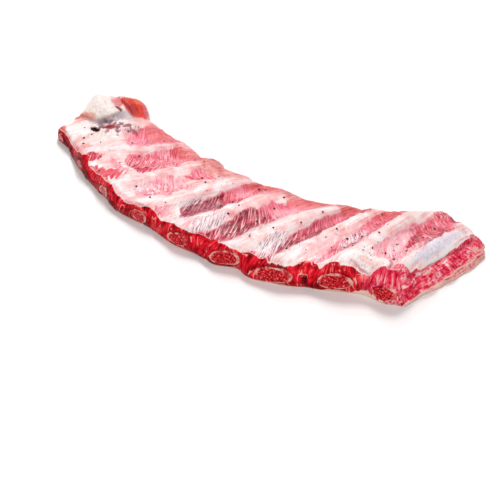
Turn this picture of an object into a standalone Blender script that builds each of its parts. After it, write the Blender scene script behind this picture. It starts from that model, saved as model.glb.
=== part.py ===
"""Raw rack of pork ribs, laid flat with its bone side up and seasoned with cracked pepper.

The rack is a long curved slab of meat and fat. Nine rib bones run through it from the
sawn front edge to the sawn back edge. Two arcs give the slab its banana-shaped plan, and
a place in it is named by three numbers: the rib coordinate (1 on the first rib, 9 on the
last), the share of the way across from the front edge to the back edge, and the share of
the way up from the underside to the top.
"""

from math import pi, radians

import bmesh
import bpy
import numpy as np
from mathutils import Matrix, Vector
from mathutils.bvhtree import BVHTree

# All sizes below are in millimetres unless a name says otherwise
MM = 0.001

# Plan of the slab: the front and back edges are two arcs that the ribs join
PLAN_SHIFT = (47.2, -37.28)
FRONT_CENTRE = (-34.2, 266.1)
FRONT_RADIUS = 296.0
BACK_CENTRE = (-44.8, 358.4)
BACK_RADIUS = 302.0

# Degrees on each arc: rib 1, the first step to its neighbour, and how fast the steps close up
FRONT_FAN = (-126.3, 9.4, -0.165)
BACK_FAN = (-112.7, 7.56, -0.103)

# Degrees that single ribs lean from the even fan at their back ends, rib 0 to rib 10
BACK_SWAY = (0.0, 0.0, 1.4, 1.0, 1.8, 0.0, 2.7, 0.0, -1.0, 0.0, 0.0)

# Where the rack ends, as rib coordinates at a share of the way across
LEFT_END = ((-0.05, 0.80), (0.10, 0.74), (0.26, 0.42), (0.41, 0.02), (0.56, -0.22), (0.74, -0.38),
            (0.90, -0.36), (1.0, -0.22))
RIGHT_END = ((-0.04, 9.42), (0.12, 9.48), (0.30, 9.66), (0.43, 9.76), (0.61, 9.86), (0.75, 9.84),
             (0.87, 9.66), (1.0, 9.30))
LEFT_BLEND = 3.2
RIGHT_BLEND = 5.0

# Millimetres that one rib coordinate stands for where the ends round over
RIB_PITCH = 40.0

# How far the top of the right end leans back from its foot, in rib spacings
END_LEAN = 0.40

# How far the knife strayed outside each arc, at a rib coordinate, and the share across that feels it
FRONT_STRAY = ((0.8, 3.0), (1.3, -2.5), (3.0, -2.5), (3.4, 0.0), (4.2, -4.5), (4.9, -1.0), (5.4, -2.0),
               (5.8, 1.5), (6.1, -3.0), (6.6, 3.5), (7.0, 2.0), (7.6, -2.5), (8.4, -6.0), (9.1, 2.5),
               (9.6, 3.5))
BACK_STRAY = ((-0.3, 2.0), (0.1, 9.0), (0.8, 3.0), (1.7, 8.0), (2.4, 6.0), (2.9, 9.5), (3.2, 5.5),
              (3.6, 9.5), (4.05, 1.0), (4.5, 7.5), (5.2, 4.0), (5.8, 4.5), (6.3, 8.0), (6.9, 4.0),
              (7.5, 10.0), (8.0, 3.5), (8.42, 15.0), (8.85, 3.0), (9.3, -3.0), (10.0, -7.0))
STRAY_REACH = 0.3

# Height of the top at the front, the middle and the back, at a rib coordinate
FRONT_HEIGHT = ((-0.3, 11.0), (1.0, 12.0), (2.0, 15.0), (6.0, 16.0), (7.0, 18.0), (8.0, 22.0), (9.0, 24.0),
                (10.0, 19.0))
MIDDLE_HEIGHT = ((-0.3, 12.0), (1.0, 14.0), (2.0, 17.5), (6.0, 18.5), (7.0, 20.0), (8.0, 24.0), (9.0, 21.5),
                 (10.0, 17.0))
BACK_HEIGHT = ((-0.3, 13.0), (1.0, 14.5), (2.0, 15.0), (6.0, 16.0), (7.0, 18.5), (8.0, 21.5), (9.0, 17.0),
               (10.0, 12.0))

# The top swells over each rib and sinks over the muscle between two ribs, fading out at the ends
RIDGE_SWELL = 1.7
RIDGE_FIRST = 0.5
RIDGE_LAST = 9.6
RIDGE_FADE = 0.8

# Soft lumps and hollows on the top: rib coordinate, share across, reach along, reach across, height
LUMPS = (
    (0.30, 0.52, 0.50, 0.20, 10.0),
    (0.25, 0.97, 0.45, 0.12, 6.0),
    (0.92, 0.44, 0.22, 0.13, -4.5),
    (8.45, 0.15, 0.45, 0.10, 3.0),
    (8.45, 0.97, 0.30, 0.14, 2.5),
    (9.30, 0.95, 0.35, 0.16, -3.0),
)

# Cut edges: run-in of the slope over a rib and between ribs, and the share of height that stands upright
FRONT_SLOPE_AT_RIB = 4.0
FRONT_SLOPE_BETWEEN = 10.0
FRONT_UPRIGHT_AT_RIB = 0.68
FRONT_UPRIGHT_BETWEEN = 0.50
BACK_SLOPE = 10.0
BACK_UPRIGHT = 0.48
LEFT_SLOPE = 10.0
LEFT_UPRIGHT = 0.58
RIGHT_SLOPE = 7.0
RIGHT_UPRIGHT = 0.72
EDGE_BULGE = 1.3
FOOT_TUCK = 1.4

# Powers that ease the lean and the bulge to nothing at the corners of the slab
LEAN_EASE = 0.5
BULGE_EASE = 0.3

# Number of slices of the slab along, across and up
SLICES_ALONG = 100
CUTS_ACROSS = (0.025, 0.06, 0.10, 0.16, 0.23, 0.31, 0.39, 0.47, 0.55, 0.63, 0.71, 0.79, 0.86, 0.92, 0.96,
               0.985)
CUTS_UP = (0.33, 0.67)

# Rib bones: width at the front, width at the back, thickness at the front, for ribs 1 to 9
RIB_BONES = ((9.0, 8.0, 6.2), (10.5, 9.5, 7.8), (12.0, 11.0, 8.4), (14.0, 12.0, 9.0),
             (16.5, 12.5, 9.8), (19.5, 13.0, 10.2), (24.0, 13.5, 10.8), (20.5, 14.0, 12.0),
             (18.0, 13.0, 11.0))
BONE_SLIMMING = 0.85
BONE_TAPER = 0.6
BONE_UNDERLAY = 2.6
BONE_RISE = 2.2
BONE_SIDES = 12
BONE_RINGS = 7
BONE_OVERRUN = 0.16
AXIS_STEP = 0.02
FIRST_RIB_BOW = 0.26
CHANNEL_GAP = 0.3

# Cracked pepper grains, thicker towards the broad end
PEPPER_SEED = 9
PEPPER_COUNT = 66
PEPPER_RADIUS = (0.50, 0.95)
PEPPER_SUNK = 0.30
PEPPER_STRETCH = 1.25
PEPPER_SQUASH = (0.6, 0.9)
PEPPER_ALONG = (0.04, 0.97)
PEPPER_ACROSS = (0.07, 0.93)
PEPPER_CROWDING = 0.8
PEPPER_APART = 5.75

MEAT_COLOUR = (0.62, 0.13, 0.15, 1.0)
BONE_COLOUR = (0.80, 0.62, 0.55, 1.0)


def through(pairs, x):
    """Value at x of a curve that eases smoothly from each pair to the next."""
    places = np.array([pair[0] for pair in pairs])
    values = np.array([pair[1] for pair in pairs])
    x = np.clip(x, places[0], places[-1])
    i = np.clip(np.searchsorted(places, x, side="right") - 1, 0, len(places) - 2)
    t = (x - places[i]) / (places[i + 1] - places[i])
    t = t * t * (3.0 - 2.0 * t)
    return values[i] * (1.0 - t) + values[i + 1] * t


def fade(distance, reach):
    """1 at no distance, easing to 0 at the reach."""
    return (1.0 - np.clip(distance / reach, 0.0, 1.0)) ** 2


def shoulder(distance, slope, upright):
    """Share of full height at a distance in from an edge that stands upright and then rounds over."""
    t = 1.0 - np.clip(distance / slope, 0.0, 1.0)
    return upright + (1.0 - upright) * np.sqrt(1.0 - t * t)


def arc_point(centre, radius, angle):
    """Points on an arc about a centre, from angles in degrees."""
    return centre[0] + radius * np.cos(np.radians(angle)), centre[1] + radius * np.sin(np.radians(angle))


def fan_angle(fan, rib):
    """Angle in degrees of a rib on its arc."""
    return fan[0] + fan[1] * (rib - 1.0) + fan[2] * (rib - 1.0) ** 2


def plan_point(rib, across, outward):
    """Plan position in millimetres, moved outward along the rib's own line."""
    sway = through(tuple(enumerate(BACK_SWAY)), rib)
    front_x, front_y = arc_point(FRONT_CENTRE, FRONT_RADIUS, fan_angle(FRONT_FAN, rib))
    back_x, back_y = arc_point(BACK_CENTRE, BACK_RADIUS, fan_angle(BACK_FAN, rib) + sway)
    span = np.hypot(back_x - front_x, back_y - front_y)
    share = across + outward / span
    return front_x + (back_x - front_x) * share, front_y + (back_y - front_y) * share


def rib_span(rib):
    """Length of a rib's line from the front arc to the back arc."""
    front = np.array(plan_point(rib, 0.0, 0.0))
    back = np.array(plan_point(rib, 1.0, 0.0))
    return np.hypot(*(back - front))


def ridge_wave(rib, across):
    """1 on a rib's line and -1 halfway between two ribs."""
    bow = FIRST_RIB_BOW * np.sin(pi * np.clip(across, 0.0, 1.0)) * fade(np.abs(rib - 1.0), 1.0)
    return np.cos(2.0 * pi * (rib - bow))


def top_height(rib, across):
    """Height of the top before the edges round it down."""
    front = through(FRONT_HEIGHT, rib)
    middle = through(MIDDLE_HEIGHT, rib)
    back = through(BACK_HEIGHT, rib)
    handle = 2.0 * middle - 0.5 * (front + back)
    height = front * (1.0 - across) ** 2 + 2.0 * handle * across * (1.0 - across) + back * across ** 2
    past_first = np.clip((rib - RIDGE_FIRST) / RIDGE_FADE, 0.0, 1.0)
    before_last = np.clip((RIDGE_LAST - rib) / RIDGE_FADE, 0.0, 1.0)
    height = height + RIDGE_SWELL * ridge_wave(rib, across) * past_first * before_last
    for lump_rib, lump_across, reach_along, reach_across, lift in LUMPS:
        distance = ((rib - lump_rib) / reach_along) ** 2 + ((across - lump_across) / reach_across) ** 2
        height = height + lift * np.exp(-distance)
    return height


def slab_point(along, across, up):
    """Position in metres of a point of the slab, from its shares along, across and up."""
    first = min(value for place, value in LEFT_END)
    last = max(value for place, value in RIGHT_END)
    even = first + (last - first) * along
    at_left = (through(LEFT_END, across) - first) * fade(even - first, LEFT_BLEND)
    lean = END_LEAN * up * np.sin(pi * np.clip(across, 0.0, 1.0)) ** LEAN_EASE
    at_right = (through(RIGHT_END, across) - last - lean) * fade(last - even, RIGHT_BLEND)
    rib = even + at_left + at_right
    between = 0.5 - 0.5 * ridge_wave(rib, across)
    slope = FRONT_SLOPE_AT_RIB + (FRONT_SLOPE_BETWEEN - FRONT_SLOPE_AT_RIB) * between
    upright = FRONT_UPRIGHT_AT_RIB + (FRONT_UPRIGHT_BETWEEN - FRONT_UPRIGHT_AT_RIB) * between
    span = rib_span(rib)
    height = top_height(rib, across) * shoulder(across * span, slope, upright)
    height = height * shoulder((1.0 - across) * span, BACK_SLOPE, BACK_UPRIGHT)
    height = height * shoulder((even - first) * RIB_PITCH, LEFT_SLOPE, LEFT_UPRIGHT)
    height = height * shoulder((last - even) * RIB_PITCH, RIGHT_SLOPE, RIGHT_UPRIGHT)
    swell = EDGE_BULGE * np.sin(pi * up) - FOOT_TUCK * (1.0 - up) ** 3
    swell = swell * np.sin(pi * along) ** BULGE_EASE
    front_out = -(through(FRONT_STRAY, rib) + swell) * fade(across, STRAY_REACH)
    back_out = (through(BACK_STRAY, rib) + swell) * fade(1.0 - across, STRAY_REACH)
    x, y = plan_point(rib, across, front_out + back_out)
    return np.stack([x + PLAN_SHIFT[0], y + PLAN_SHIFT[1], height * up], axis=-1) * MM


def slice_cube(mesh, axis, places):
    """Cut a unit cube across one axis at the given places."""
    for place in places:
        point = Vector((0.0, 0.0, 0.0))
        point[axis] = place
        direction = Vector((0.0, 0.0, 0.0))
        direction[axis] = 1.0
        everything = mesh.verts[:] + mesh.edges[:] + mesh.faces[:]
        bmesh.ops.bisect_plane(mesh, geom=everything, plane_co=point, plane_no=direction, dist=1e-6)


def make_slab():
    """The uncut slab: a unit cube sliced into cells, with every corner moved to its place."""
    block = bmesh.new()
    bmesh.ops.create_cube(block, size=1.0, matrix=Matrix.Translation((0.5, 0.5, 0.5)))
    slice_cube(block, 0, [k / SLICES_ALONG for k in range(1, SLICES_ALONG)])
    slice_cube(block, 1, CUTS_ACROSS)
    slice_cube(block, 2, CUTS_UP)
    shares = np.array([vertex.co[:] for vertex in block.verts])
    places = slab_point(shares[:, 0], shares[:, 1], shares[:, 2])
    for vertex, place in zip(block.verts, places):
        vertex.co = Vector(place)
    flat = [face for face in block.faces if all(vertex.co.z < 1e-7 for vertex in face.verts)]
    bmesh.ops.dissolve_faces(block, faces=flat, use_verts=False)
    return finished_mesh(block, "slab")


def finished_mesh(shape, name):
    """A mesh made from a bmesh, which is then freed."""
    mesh = bpy.data.meshes.new(name)
    shape.to_mesh(mesh)
    shape.free()
    return mesh


def bone_axis(number, across):
    """Centre line of a rib bone in metres, at a share of the way across."""
    rib = number + (FIRST_RIB_BOW * np.sin(pi * np.clip(across, 0.0, 1.0)) if number == 1 else 0.0)
    thickness = RIB_BONES[number - 1][2]
    arch = BONE_RISE * np.sin(pi * np.clip(across, 0.0, 1.0))
    centre_height = BONE_UNDERLAY + 0.5 * thickness + arch
    x, y = plan_point(rib, across, 0.0)
    return Vector(((x + PLAN_SHIFT[0]) * MM, (y + PLAN_SHIFT[1]) * MM, centre_height * MM))


def bone_bar(number, extra, name):
    """A long oval bar along a rib, past both edges of the slab, larger all round by the extra."""
    front_width, back_width, thickness = RIB_BONES[number - 1]
    bar = bmesh.new()
    bmesh.ops.create_cone(bar, cap_ends=True, segments=BONE_SIDES, radius1=1.0, radius2=1.0, depth=1.0,
                          matrix=Matrix.Translation((0.0, 0.0, 0.5)))
    slice_cube(bar, 2, [k / BONE_RINGS for k in range(1, BONE_RINGS)])
    for vertex in bar.verts:
        across = -BONE_OVERRUN + (1.0 + 2.0 * BONE_OVERRUN) * vertex.co.z
        share = min(max(across, 0.0), 1.0)
        centre = bone_axis(number, across)
        ahead = bone_axis(number, across + AXIS_STEP) - bone_axis(number, across - AXIS_STEP)
        side = Vector((-ahead.y, ahead.x, 0.0)).normalized()
        half_width = 0.5 * (front_width + (back_width - front_width) * share ** BONE_TAPER) + extra
        half_thickness = 0.5 * thickness * (1.0 + (BONE_SLIMMING - 1.0) * share) + extra
        offset = side * (vertex.co.x * half_width * MM)
        vertex.co = centre + offset + Vector((0.0, 0.0, vertex.co.y * half_thickness * MM))
    return finished_mesh(bar, name)


def pepper_mesh(slab_mesh):
    """Cracked grains scattered over the top, as rough little stones half sunk in the surface."""
    draw = np.random.default_rng(PEPPER_SEED)
    surface = bmesh.new()
    surface.from_mesh(slab_mesh)
    tree = BVHTree.FromBMesh(surface)
    surface.free()
    grains = []
    while len(grains) < PEPPER_COUNT:
        along = PEPPER_ALONG[0] + (PEPPER_ALONG[1] - PEPPER_ALONG[0]) * draw.uniform() ** PEPPER_CROWDING
        across = draw.uniform(*PEPPER_ACROSS)
        radius = draw.uniform(*PEPPER_RADIUS) * MM
        turn = draw.uniform(0.0, 2.0 * pi)
        squash = draw.uniform(*PEPPER_SQUASH)
        spot = slab_point(np.array(along), np.array(across), np.array(1.0))
        hit, normal, _, _ = tree.ray_cast(Vector((spot[0], spot[1], 1.0)), Vector((0.0, 0.0, -1.0)))
        if hit is None or any((hit - other).length < PEPPER_APART * MM for other, _ in grains):
            continue
        upright = normal.to_track_quat("Z", "Y").to_matrix().to_4x4()
        shape = Matrix.Diagonal((PEPPER_STRETCH, 1.0, squash, 1.0))
        lift = Matrix.Translation((0.0, 0.0, radius * squash * (1.0 - 2.0 * PEPPER_SUNK)))
        placed = Matrix.Translation(hit) @ upright @ lift @ Matrix.Rotation(turn, 4, "Z") @ shape
        grains.append((hit, placed @ Matrix.Scale(radius, 4)))
    stones = bmesh.new()
    for _, matrix in grains:
        bmesh.ops.create_icosphere(stones, subdivisions=1, radius=1.0, matrix=matrix)
    return finished_mesh(stones, "pepper")


def make_material(name, colour, roughness):
    """A plain wet-looking finish."""
    material = bpy.data.materials.new(name)
    material.use_nodes = True
    shader = material.node_tree.nodes["Principled BSDF"]
    shader.inputs["Base Color"].default_value = colour
    shader.inputs["Roughness"].default_value = roughness
    shader.inputs["Metallic"].default_value = 0.0
    return material


def add_object(name, mesh, collection, material=None):
    """An object for a mesh, in a collection."""
    thing = bpy.data.objects.new(name, mesh)
    collection.objects.link(thing)
    if material is not None:
        mesh.materials.append(material)
    return thing


def apply_boolean(thing, operation, operand, solver):
    """Apply one Boolean to an object, with another object or a whole collection."""
    modifier = thing.modifiers.new("join", "BOOLEAN")
    modifier.operation = operation
    modifier.solver = solver
    if isinstance(operand, bpy.types.Collection):
        modifier.operand_type = "COLLECTION"
        modifier.collection = operand
    else:
        modifier.object = operand
    evaluated = thing.evaluated_get(bpy.context.evaluated_depsgraph_get())
    result = bpy.data.meshes.new_from_object(evaluated)
    thing.modifiers.clear()
    thing.data = result


def empty_collection(collection):
    """Remove a helper collection with the objects in it."""
    for thing in list(collection.objects):
        bpy.data.objects.remove(thing, do_unlink=True)
    bpy.data.collections.remove(collection)


def main():
    for thing in list(bpy.data.objects):
        bpy.data.objects.remove(thing, do_unlink=True)
    rack = bpy.data.collections.new("rack_of_pork_ribs")
    cutters = bpy.data.collections.new("cutters")
    toppings = bpy.data.collections.new("toppings")
    for collection in (rack, cutters, toppings):
        bpy.context.scene.collection.children.link(collection)

    meat_finish = make_material("raw_meat", MEAT_COLOUR, 0.35)
    bone_finish = make_material("rib_bone", BONE_COLOUR, 0.45)

    slab_mesh = make_slab()
    meat = add_object("rack_meat", slab_mesh, rack, meat_finish)
    whole = add_object("whole_slab", slab_mesh.copy(), toppings)
    for number in range(1, len(RIB_BONES) + 1):
        bone = add_object(f"rib_bone_{number}", bone_bar(number, 0.0, f"bone_{number}"), rack, bone_finish)
        apply_boolean(bone, "INTERSECT", whole, "EXACT")
        channel = add_object(f"channel_{number}", bone_bar(number, CHANNEL_GAP, f"channel_{number}"), cutters)
        channel.hide_render = True
        channel.display_type = "WIRE"
    bpy.data.objects.remove(whole, do_unlink=True)

    for channel in cutters.objects:
        apply_boolean(meat, "DIFFERENCE", channel, "EXACT")
    add_object("grains", pepper_mesh(slab_mesh), toppings)
    apply_boolean(meat, "UNION", toppings, "MANIFOLD")
    empty_collection(toppings)
    empty_collection(cutters)
    for thing in rack.objects:
        thing.data.shade_smooth()
        thing.data.set_sharp_from_angle(angle=radians(40.0))


main()
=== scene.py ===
# %% [markdown]
# # A raw rack of pork ribs, step by step
# This lesson dresses a rack of ribs that lies flat and is seasoned with cracked pepper.
# The solid model gives the place and size of everything. The cells below make the wet
# meat, the white fat over the bones, the sawn bone ends and the pepper on top of it.

# %% Load the frame
from math import cos, pi, radians, sin

import bmesh
import bpy
import numpy as np
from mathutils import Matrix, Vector


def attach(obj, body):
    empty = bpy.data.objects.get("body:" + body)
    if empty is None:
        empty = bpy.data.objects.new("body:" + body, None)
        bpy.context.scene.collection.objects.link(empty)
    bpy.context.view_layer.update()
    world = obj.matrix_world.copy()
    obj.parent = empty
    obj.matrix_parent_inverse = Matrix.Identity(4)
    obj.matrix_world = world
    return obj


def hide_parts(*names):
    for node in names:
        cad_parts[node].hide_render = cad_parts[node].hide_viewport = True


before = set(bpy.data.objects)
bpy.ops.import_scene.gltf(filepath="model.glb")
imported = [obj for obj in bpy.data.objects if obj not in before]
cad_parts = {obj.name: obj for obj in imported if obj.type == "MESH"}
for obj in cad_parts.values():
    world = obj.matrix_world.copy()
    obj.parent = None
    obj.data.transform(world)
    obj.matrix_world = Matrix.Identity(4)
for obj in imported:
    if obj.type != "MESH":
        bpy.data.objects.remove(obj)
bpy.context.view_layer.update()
MM = 0.001

# %% [markdown]
# ## Two small helpers for colour and nodes
# Colours are picked as sRGB hex values, the way a colour picker shows them, while shaders
# work in linear light, so one function converts them. Another adds a node to any tree with
# its settings and links in one call, which keeps the long trees below readable.

# %% Colour and node helpers
def linear(hex_colour, alpha=1.0):
    """A colour such as #F2A0A8 as linear red, green, blue and alpha."""
    parts = [int(hex_colour[k:k + 2], 16) / 255.0 for k in (1, 3, 5)]
    return tuple(c / 12.92 if c <= 0.04045 else ((c + 0.055) / 1.055) ** 2.4 for c in parts) + (alpha,)


def add_node(tree, kind, settings=None, **inputs):
    """Add a node; inputs are values or sockets, by name with _ for spaces, or in0, in1 by place."""
    node = tree.nodes.new(kind)
    for name, value in (settings or {}).items():
        setattr(node, name, value)
    for name, value in inputs.items():
        key = int(name[2:]) if name[:2] == "in" and name[2:].isdigit() else name.replace("_", " ")
        if isinstance(value, bpy.types.NodeSocket):
            tree.links.new(value, node.inputs[key])
        else:
            node.inputs[key].default_value = value
    return node


def shader_of(material, settings):
    """A material's tree and its shader, with the settings that are the same all over."""
    material.use_nodes = True
    shader = material.node_tree.nodes["Principled BSDF"]
    for socket, value in settings.items():
        shader.inputs[socket].default_value = value
    return material.node_tree, shader


print("helpers ready")

# %% [markdown]
# ## Camera, floor and light
# The photo looks down on the rack by about 34 degrees from near its broad end. A long lens
# keeps the ribs nearly parallel. The floor is plain and pale, and two large soft lights stand
# in for a studio tent, so the wet meat shows broad soft highlights. A smaller lamp, lower and
# behind the rack, gives the few sharp glints.

# %% Camera, floor and light
VIEW_AZIMUTH = radians(38.0)
VIEW_ELEVATION = radians(34.0)
LENS = 85.0
SENSOR = 36.0
NEAREST = 0.01
PHOTO_WIDTH = 500
PIXELS_PER_METRE = 1450.0
AIM = Vector((0.0472, -0.03728, 0.0))
FLOOR_SIZE = 8.0
PAPER = {"Base Color": linear("#F7F6F5"), "Roughness": 0.9}
WHITE = linear("#FFFFFF")
SKY_STRENGTH = 0.30
# place and side in metres, then power in watts
LIGHTS = {
    "softbox_over": ((-0.60, 0.90, 1.80), 0.60, 26.5),
    "softbox_low": ((-0.80, 1.02, 1.25), 0.14, 6.0),
    "softbox_front": ((0.90, -1.40, 1.20), 0.50, 19.0),
}


def set_up(name, data, place, back):
    """Stand a camera or a lamp at a place, so that it looks the opposite way to a direction."""
    thing = bpy.data.objects.new(name, data)
    thing.location = place
    thing.rotation_mode = "QUATERNION"
    thing.rotation_quaternion = back.to_track_quat("Z", "Y")
    bpy.context.scene.collection.objects.link(thing)
    return thing


def make_camera():
    """A camera whose picture holds the rack where the photo has it."""
    distance = PHOTO_WIDTH * LENS / SENSOR / PIXELS_PER_METRE
    level = cos(VIEW_ELEVATION)
    back = Vector((sin(VIEW_AZIMUTH) * level, -cos(VIEW_AZIMUTH) * level, sin(VIEW_ELEVATION)))
    lens = bpy.data.cameras.new("studio_camera")
    lens.lens = LENS
    lens.sensor_width = SENSOR
    lens.clip_start = NEAREST
    bpy.context.scene.camera = set_up("studio_camera", lens, AIM + back * distance, back)


def add_softbox(name, place, side, power):
    """A square white light that faces the rack."""
    light = bpy.data.lights.new(name, "AREA")
    light.size = side
    light.energy = power
    light.color = WHITE[:3]
    set_up(name, light, place, Vector(place))


def make_floor():
    """A wide pale floor under the rack."""
    bpy.ops.mesh.primitive_plane_add(size=FLOOR_SIZE)
    floor = bpy.context.active_object
    floor.name = "studio_floor"
    paint = bpy.data.materials.new("white_matt_paper")
    shader_of(paint, PAPER)
    floor.data.materials.append(paint)


def make_world():
    """Even white light from all round."""
    world = bpy.data.worlds.new("studio_tent")
    world.use_nodes = True
    sky = world.node_tree.nodes["Background"]
    sky.inputs["Color"].default_value = WHITE
    sky.inputs["Strength"].default_value = SKY_STRENGTH
    bpy.context.scene.world = world


make_camera()
make_floor()
make_world()
for name, light_settings in LIGHTS.items():
    add_softbox(name, *light_settings)
bpy.context.scene.view_settings.view_transform = "Standard"
print("camera at", [round(c, 3) for c in bpy.context.scene.camera.location])

# %% [markdown]
# ## The rule behind the rack's shape
# A real rack is a slice of a rib cage, so its two long edges are close to two arcs, and the
# ribs fan out between them. Any place in the slab is named by a rib coordinate, a share of
# the way across and a share of the way up. Moving points by one rule keeps the fine surface
# exactly where the solid model is, which a free sculpt couldn't do.

# %% Plan and height of the slab
# Lengths are in millimetres and angles in degrees. The tables hold pairs: a place, as rib
# coordinate or share across the rack, and the value there.
PLAN_SHIFT = (47.2, -37.28)
FRONT_CENTRE = (-34.2, 266.1)
FRONT_RADIUS = 296.0
BACK_CENTRE = (-44.8, 358.4)
BACK_RADIUS = 302.0
FRONT_FAN = (-126.3, 9.4, -0.165)
BACK_FAN = (-112.7, 7.56, -0.103)
BACK_SWAY = (0.0, 0.0, 1.4, 1.0, 1.8, 0.0, 2.7, 0.0, -1.0, 0.0, 0.0)
LEFT_END = ((-0.05, 0.80), (0.10, 0.74), (0.26, 0.42), (0.41, 0.02), (0.56, -0.22), (0.74, -0.38),
            (0.90, -0.36), (1.0, -0.22))
RIGHT_END = ((-0.04, 9.42), (0.12, 9.48), (0.30, 9.66), (0.43, 9.76), (0.61, 9.86), (0.75, 9.84),
             (0.87, 9.66), (1.0, 9.30))
LEFT_BLEND = 3.2
RIGHT_BLEND = 5.0
RIB_PITCH = 40.0
END_LEAN = 0.40
LEAN_EASE = 0.5
FRONT_STRAY = ((0.8, 3.0), (1.3, -2.5), (3.0, -2.5), (3.4, 0.0), (4.2, -4.5), (4.9, -1.0), (5.4, -2.0),
               (5.8, 1.5), (6.1, -3.0), (6.6, 3.5), (7.0, 2.0), (7.6, -2.5), (8.4, -6.0), (9.1, 2.5),
               (9.6, 3.5))
BACK_STRAY = ((-0.3, 2.0), (0.1, 9.0), (0.8, 3.0), (1.7, 8.0), (2.4, 6.0), (2.9, 9.5), (3.2, 5.5),
              (3.6, 9.5), (4.05, 1.0), (4.5, 7.5), (5.2, 4.0), (5.8, 4.5), (6.3, 8.0), (6.9, 4.0),
              (7.5, 10.0), (8.0, 3.5), (8.42, 15.0), (8.85, 3.0), (9.3, -3.0), (10.0, -7.0))
STRAY_REACH = 0.3
HEIGHT_RIBS = (-0.3, 1.0, 2.0, 6.0, 7.0, 8.0, 9.0, 10.0)
FRONT_HEIGHT = tuple(zip(HEIGHT_RIBS, (11.0, 12.0, 15.0, 16.0, 18.0, 22.0, 24.0, 19.0)))
MIDDLE_HEIGHT = tuple(zip(HEIGHT_RIBS, (12.0, 14.0, 17.5, 18.5, 20.0, 24.0, 21.5, 17.0)))
BACK_HEIGHT = tuple(zip(HEIGHT_RIBS, (13.0, 14.5, 15.0, 16.0, 18.5, 21.5, 17.0, 12.0)))
RIDGE_SWELL = 1.7
RIDGE_FIRST = 0.5
RIDGE_LAST = 9.6
RIDGE_FADE = 0.8
# rib coordinate and share across, reach along and across, then height
LUMPS = (
    (0.30, 0.52, 0.50, 0.20, 10.0),
    (0.25, 0.97, 0.45, 0.12, 6.0),
    (0.92, 0.44, 0.22, 0.13, -4.5),
    (8.45, 0.15, 0.45, 0.10, 3.0),
    (8.45, 0.97, 0.30, 0.14, 2.5),
    (9.30, 0.95, 0.35, 0.16, -3.0),
)
FRONT_SLOPE_AT_RIB = 4.0
FRONT_SLOPE_BETWEEN = 10.0
FRONT_UPRIGHT_AT_RIB = 0.68
FRONT_UPRIGHT_BETWEEN = 0.50
BACK_SLOPE = 10.0
BACK_UPRIGHT = 0.48
LEFT_SLOPE = 10.0
LEFT_UPRIGHT = 0.58
RIGHT_SLOPE = 7.0
RIGHT_UPRIGHT = 0.72
EDGE_BULGE = 1.3
BULGE_EASE = 0.3
FOOT_TUCK = 1.4
FIRST_RIB_BOW = 0.26
print("edge tables hold", len(FRONT_STRAY) + len(BACK_STRAY), "values")

# %% [markdown]
# ## Arcs and eased curves
# A rib's line runs from a point on the front arc to one on the back arc. Everything that
# changes along the rack is a short table, read by a curve that eases from value to value.
# An edge can then be redrawn by changing one pair, with no corner to smooth afterwards.

# %% Arcs and eased curves
def through(pairs, x):
    """Value at x of a curve that eases smoothly from each pair to the next."""
    places = np.array([pair[0] for pair in pairs])
    values = np.array([pair[1] for pair in pairs])
    x = np.clip(x, places[0], places[-1])
    i = np.clip(np.searchsorted(places, x, side="right") - 1, 0, len(places) - 2)
    t = (x - places[i]) / (places[i + 1] - places[i])
    t = t * t * (3.0 - 2.0 * t)
    return values[i] * (1.0 - t) + values[i + 1] * t


def fade(distance, reach):
    """1 at no distance, easing to 0 at the reach."""
    return (1.0 - np.clip(distance / reach, 0.0, 1.0)) ** 2


def shoulder(distance, slope, upright):
    """Share of full height at a distance in from an edge that stands upright and then rounds over."""
    t = 1.0 - np.clip(distance / slope, 0.0, 1.0)
    return upright + (1.0 - upright) * np.sqrt(1.0 - t * t)


def arc_point(centre, radius, angle):
    """Points on an arc about a centre, from angles in degrees."""
    return centre[0] + radius * np.cos(np.radians(angle)), centre[1] + radius * np.sin(np.radians(angle))


def fan_angle(fan, rib):
    """Angle in degrees of a rib on its arc."""
    return fan[0] + fan[1] * (rib - 1.0) + fan[2] * (rib - 1.0) ** 2


def plan_point(rib, across, outward):
    """Plan position in millimetres, moved outward along the rib's own line."""
    sway = through(tuple(enumerate(BACK_SWAY)), rib)
    front_x, front_y = arc_point(FRONT_CENTRE, FRONT_RADIUS, fan_angle(FRONT_FAN, rib))
    back_x, back_y = arc_point(BACK_CENTRE, BACK_RADIUS, fan_angle(BACK_FAN, rib) + sway)
    span = np.hypot(back_x - front_x, back_y - front_y)
    share = across + outward / span
    return front_x + (back_x - front_x) * share, front_y + (back_y - front_y) * share


def rib_span(rib):
    """Length of a rib's line from the front arc to the back arc."""
    front = np.array(plan_point(rib, 0.0, 0.0))
    back = np.array(plan_point(rib, 1.0, 0.0))
    return np.hypot(*(back - front))


print("rib 5 is", round(float(rib_span(5.0)), 1), "mm long")

# %% [markdown]
# ## Height and place of a point
# The top of a real rack swells over each rib and rounds down at its edges. The last function
# below joins the rules and turns three shares into a place in metres. The solid model follows
# the same rules, so the fine surface and the solid agree.

# %% Height and place
def ridge_wave(rib, across):
    """1 on a rib's line and -1 halfway between two ribs."""
    bow = FIRST_RIB_BOW * np.sin(pi * np.clip(across, 0.0, 1.0)) * fade(np.abs(rib - 1.0), 1.0)
    return np.cos(2.0 * pi * (rib - bow))


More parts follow.
